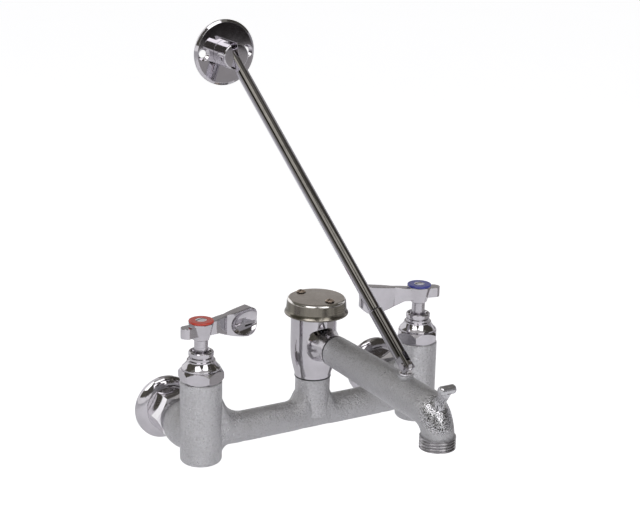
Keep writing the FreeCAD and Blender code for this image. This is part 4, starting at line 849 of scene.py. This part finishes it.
class FaucetInlets(Operator):
    """Polishes the wall couplings: adapters, union nuts and their washers"""

    bl_idname = "faucet.finish_inlets"
    bl_label = "Wall couplings"

    def execute(self, context):
        finishes = context.scene.faucet_finishes
        washer = moulded_finish("union washer rubber", finishes.rubber_tone, finishes.rubber_shade)
        # The union nuts get the brighter chrome tone, a painted reflection
        painted_bright_plate = (finishes.painted_bright_chrome_tone, finishes.painted_bright_chrome_shade)
        for side in ("hot", "cold"):
            middle = axis_of(side + "_adapter")
            dome = chrome_finish(
                finishes,
                side + " dome chrome",
                middle,
                FACING_WALL,
                lines=1.0,
                edge=0.3,
                waves=(240.0, 0.12),
            )
            finish_nodes((side + "_adapter",), dome)
            nut = chrome_finish(
                finishes,
                side + " nut chrome",
                middle,
                FACING_WALL,
                lines=0.3,
                edge=0.4,
                waves=(70.0, 0.06),
                plate=painted_bright_plate,
            )
            finish_nodes((side + "_union_nut",), nut)
            finish_nodes((side + "_union_washer",), washer)
        return {"FINISHED"}


class FaucetValves(Operator):
    """Finishes the bonnets, packing nuts, stems and the sealed valve pieces"""

    bl_idname = "faucet.finish_valves"
    bl_label = "Valves"

    def execute(self, context):
        finishes = context.scene.faucet_finishes
        brass = finishes.brass_tone
        dull_brass = [0.7 * part for part in brass]
        ceramic = moulded_finish(
            "disc ceramic", finishes.ceramic_tone, finishes.ceramic_shade, rough=(0.12, 0.3)
        )
        rubber = moulded_finish("seal rubber", finishes.rubber_tone, finishes.rubber_shade)
        for side in ("hot", "cold"):
            middle = axis_of(side + "_bonnet")
            polished = chrome_finish(
                finishes, side + " bonnet chrome", middle, lines=0.5, edge=0.3, waves=(60.0, 0.07)
            )
            finish_nodes((side + "_bonnet", side + "_packing_nut"), polished)
            stem = satin_finish(
                finishes,
                side + " stem chrome",
                finishes.chrome_tone,
                finishes.chrome_shade,
                middle,
                rough=(0.16, 0.34),
            )
            finish_nodes((side + "_stem",), stem)
            cartridge = satin_finish(finishes, side + " cartridge brass", brass, dull_brass, middle)
            finish_nodes((side + "_cartridge",), cartridge)
            finish_nodes((side + "_fixed_disc", side + "_moving_disc"), ceramic)
            finish_nodes((side + "_seal_ring", side + "_stem_ring"), rubber)
        return {"FINISHED"}


class FaucetHandles(Operator):
    """Polishes the lever handles and colours their index rings"""

    bl_idname = "faucet.finish_handles"
    bl_label = "Handles"

    def execute(self, context):
        finishes = context.scene.faucet_finishes
        rings = {"hot": finishes.hot_tone, "cold": finishes.cold_tone}
        for side, ring_tone in rings.items():
            middle = axis_of(side + "_index_ring")
            lever = chrome_finish(finishes, side + " lever chrome", middle, edge=0.9)
            finish_nodes((side + "_lever",), lever)
            # The index screws get painted shade on their upright walls
            screw = satin_finish(
                finishes,
                side + " screw plate",
                finishes.screw_tone,
                finishes.chrome_tone,
                middle,
                rough=(0.3, 0.4),
                metallic=0.4,
                wall_shade=1.0,
            )
            finish_nodes((side + "_index_screw",), screw)
            faded = [0.6 * part + 0.03 for part in ring_tone]
            enamel = moulded_finish(
                side + " index enamel",
                ring_tone,
                faded,
                rough=(0.16, 0.3),
                patches=240.0,
                depth=0.03,
                coat=0.5,
            )
            finish_nodes((side + "_index_ring",), enamel)
        return {"FINISHED"}


class FaucetBreaker(Operator):
    """Finishes the vacuum breaker: body, cap, screws, float and rings"""

    bl_idname = "faucet.finish_breaker"
    bl_label = "Vacuum breaker"

    def execute(self, context):
        finishes = context.scene.faucet_finishes
        middle = axis_of("breaker_cap")
        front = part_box("breaker_body")[0][1]
        neck_depth = 6.0 * MM
        neck_reach = 18.0 * MM
        neck = (middle[0], front + neck_depth, axis_of("spout_ring")[2])
        body = chrome_finish(
            finishes, "breaker body chrome", middle, lines=0.3, edge=0.35, satin=(neck, neck_reach)
        )
        finish_nodes(("breaker_body",), body)
        finish_nodes(("breaker_cap",), cap_finish(finishes, "cap nickel", middle))
        dark_copper = [0.25 * part for part in finishes.copper_tone]
        # The cap screws get painted shade on their upright walls
        screws = satin_finish(
            finishes,
            "cap screw brass",
            finishes.copper_tone,
            dark_copper,
            middle,
            metallic=0.7,
            wall_shade=0.95,
        )
        finish_nodes(("cap_screws",), screws)
        moulded = moulded_finish(
            "float plastic", finishes.float_tone, finishes.float_shade, rough=(0.36, 0.5)
        )
        finish_nodes(("breaker_float", "breaker_guide"), moulded)
        rubber = moulded_finish("breaker rubber", finishes.rubber_tone, finishes.rubber_shade)
        finish_nodes(("breaker_ring", "spout_ring", "float_washer"), rubber)
        return {"FINISHED"}


class FaucetBrace(Operator):
    """Finishes the top brace: eye, sleeve, rod, turret, flange and pins"""

    bl_idname = "faucet.finish_brace"
    bl_label = "Top brace"

    def execute(self, context):
        finishes = context.scene.faucet_finishes
        lower = Vector(axis_of("brace_lower_pin"))
        upper = Vector(axis_of("brace_upper_pin"))
        lie = tuple((upper - lower).to_track_quat("Z", "Y").to_euler())
        foot = tuple(lower)
        # The rod and the sleeve get a painted dark reflection and a painted glancing highlight
        finish_nodes(("brace_rod",), bar_finish(finishes, "brace rod painted reflection", foot, lie))
        sleeve = bar_finish(finishes, "brace sleeve painted reflection", foot, lie, share=0.7)
        finish_nodes(("brace_sleeve",), sleeve)
        plate = axis_of("brace_flange")
        wall = chrome_finish(
            finishes,
            "wall flange chrome",
            plate,
            FACING_WALL,
            lines=0.1,
            edge=0.5,
            waves=(60.0, 0.03),
        )
        finish_nodes(("brace_flange", "brace_turret"), wall)
        # The eye gets the same brighter chrome tone, a painted reflection
        painted_bright_plate = (finishes.painted_bright_chrome_tone, finishes.painted_bright_chrome_shade)
        small = chrome_finish(
            finishes, "brace eye chrome", foot, FACING_WALL, waves=(200.0, 0.1), plate=painted_bright_plate
        )
        finish_nodes(("brace_eye",), small)
        # The pins get the same painted dark reflection and glancing highlight
        pin = bar_finish(finishes, "brace pin painted reflection", foot, FACING_WALL)
        finish_nodes(("brace_lower_pin", "brace_upper_pin"), pin)
        return {"FINISHED"}


class FaucetHoseThread(Operator):
    """Cuts the hose thread in the end of the spout"""

    bl_idname = "faucet.cut_hose_thread"
    bl_label = "Hose thread"

    def execute(self, context):
        sizes = context.scene.faucet_sizes
        mount = hose_seat()
        crest = mount["dims"]["r_mm"] * MM
        run = mount["dims"]["length_mm"] * MM
        x, y, z = mount["pos_m"]
        low = z - run / 2.0
        spout = frame["nodes"]["spout"]
        shape = bmesh.new()
        shape.from_mesh(spout.data)
        near = 0.05 * MM
        skin = [
            face
            for face in shape.faces
            if all(abs(math.hypot(v.co.x - x, v.co.y - y) - crest) < near for v in face.verts)
            and all(low - near < v.co.z < low + run + near for v in face.verts)
        ]
        if not skin:
            raise RuntimeError("the spout has no plain cylinder where its hose thread should be cut")
        bmesh.ops.delete(shape, geom=skin, context="FACES")
        shy = 0.006 * MM
        foot = (x, y, low)
        sides = sizes.thread_sides
        crest -= shy
        thread = Thread(foot, run, crest, sizes.hose_pitch, sizes.hose_depth, sides, slot=1)
        thread.cut(shape)
        piece = new_piece("spout_with_hose_thread", shape, "faucet")
        finishes = context.scene.faucet_finishes
        cut = satin_finish(
            finishes,
            "cut thread",
            finishes.chrome_tone,
            finishes.cast_shade,
            (x, y, z),
            rough=(0.14, 0.3),
            edge=0.0,
        )
        piece.data.materials.append(spout.data.materials[0])
        piece.data.materials.append(cut)
        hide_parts("spout")
        return {"FINISHED"}


class FaucetPipeThreads(Operator):
    """Cuts the pipe thread in each wall coupling"""

    bl_idname = "faucet.cut_pipe_threads"
    bl_label = "Pipe threads"

    def execute(self, context):
        sizes = context.scene.faucet_sizes
        finishes = context.scene.faucet_finishes
        dull_brass = [0.55 * part for part in finishes.brass_tone]
        plain_end = 0.6 * MM
        shy = 0.02 * MM
        for mount in frame["record"]["mounts"]:
            if mount["kind"] != "threaded_hole":
                continue
            side = mount["name"].split("_")[0]
            crest = mount["dims"]["r_mm"] * MM - shy
            depth = mount["dims"]["length_mm"] * MM
            x, y, z = mount["pos_m"]
            mouth = (x, y + depth / 2.0 - plain_end, z)
            run = depth - 2.0 * plain_end
            sides = sizes.thread_sides
            thread = Thread(mouth, run, crest, sizes.pipe_pitch, sizes.pipe_depth, sides, bore=True)
            shape = bmesh.new()
            thread.cut(shape)
            piece = new_piece(side + "_inlet_thread", shape, "faucet")
            brass = satin_finish(
                finishes,
                side + " inlet thread brass",
                finishes.brass_tone,
                dull_brass,
                (x, y, z),
                FACING_WALL,
                edge=0.0,
            )
            piece.data.materials.append(brass)
        return {"FINISHED"}


class FaucetPanel(Panel):
    """Lists the faucet's settings and its makers"""

    bl_label = "Service sink faucet"
    bl_idname = "VIEW3D_PT_service_sink_faucet"
    bl_space_type = "VIEW_3D"
    bl_region_type = "UI"
    bl_category = "Faucet"

    def draw(self, context):
        layout = self.layout
        for maker in MAKERS:
            layout.operator(maker.bl_idname)
        for settings in ("faucet_sizes", "faucet_finishes", "faucet_stage"):
            group = getattr(context.scene, settings)
            box = layout.box()
            for name in group.bl_rna.properties.keys():
                if name not in {"rna_type", "name"}:
                    box.prop(group, name)


SETTINGS = (FaucetFinishes, FaucetSizes, FaucetStage)
MAKERS = (
    FaucetStageMaker,
    FaucetCastings,
    FaucetInlets,
    FaucetValves,
    FaucetHandles,
    FaucetBreaker,
    FaucetBrace,
    FaucetHoseThread,
    FaucetPipeThreads,
)


def register():
    """Adds the settings, the makers and the panel."""
    for kind in (*SETTINGS, *MAKERS, FaucetPanel):
        bpy.utils.register_class(kind)
    bpy.types.Scene.faucet_finishes = PointerProperty(type=FaucetFinishes)
    bpy.types.Scene.faucet_sizes = PointerProperty(type=FaucetSizes)
    bpy.types.Scene.faucet_stage = PointerProperty(type=FaucetStage)


def unregister():
    """Takes them away again."""
    del bpy.types.Scene.faucet_stage
    del bpy.types.Scene.faucet_sizes
    del bpy.types.Scene.faucet_finishes
    for kind in (FaucetPanel, *reversed(MAKERS), *reversed(SETTINGS)):
        bpy.utils.unregister_class(kind)


def main():
    """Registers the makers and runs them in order."""
    register()
    bpy.ops.faucet.make_stage()
    bpy.ops.faucet.finish_castings()
    bpy.ops.faucet.finish_inlets()
    bpy.ops.faucet.finish_valves()
    bpy.ops.faucet.finish_handles()
    bpy.ops.faucet.finish_breaker()
    bpy.ops.faucet.finish_brace()
    bpy.ops.faucet.cut_hose_thread()
    bpy.ops.faucet.cut_pipe_threads()


if __name__ == "__main__":
    main()
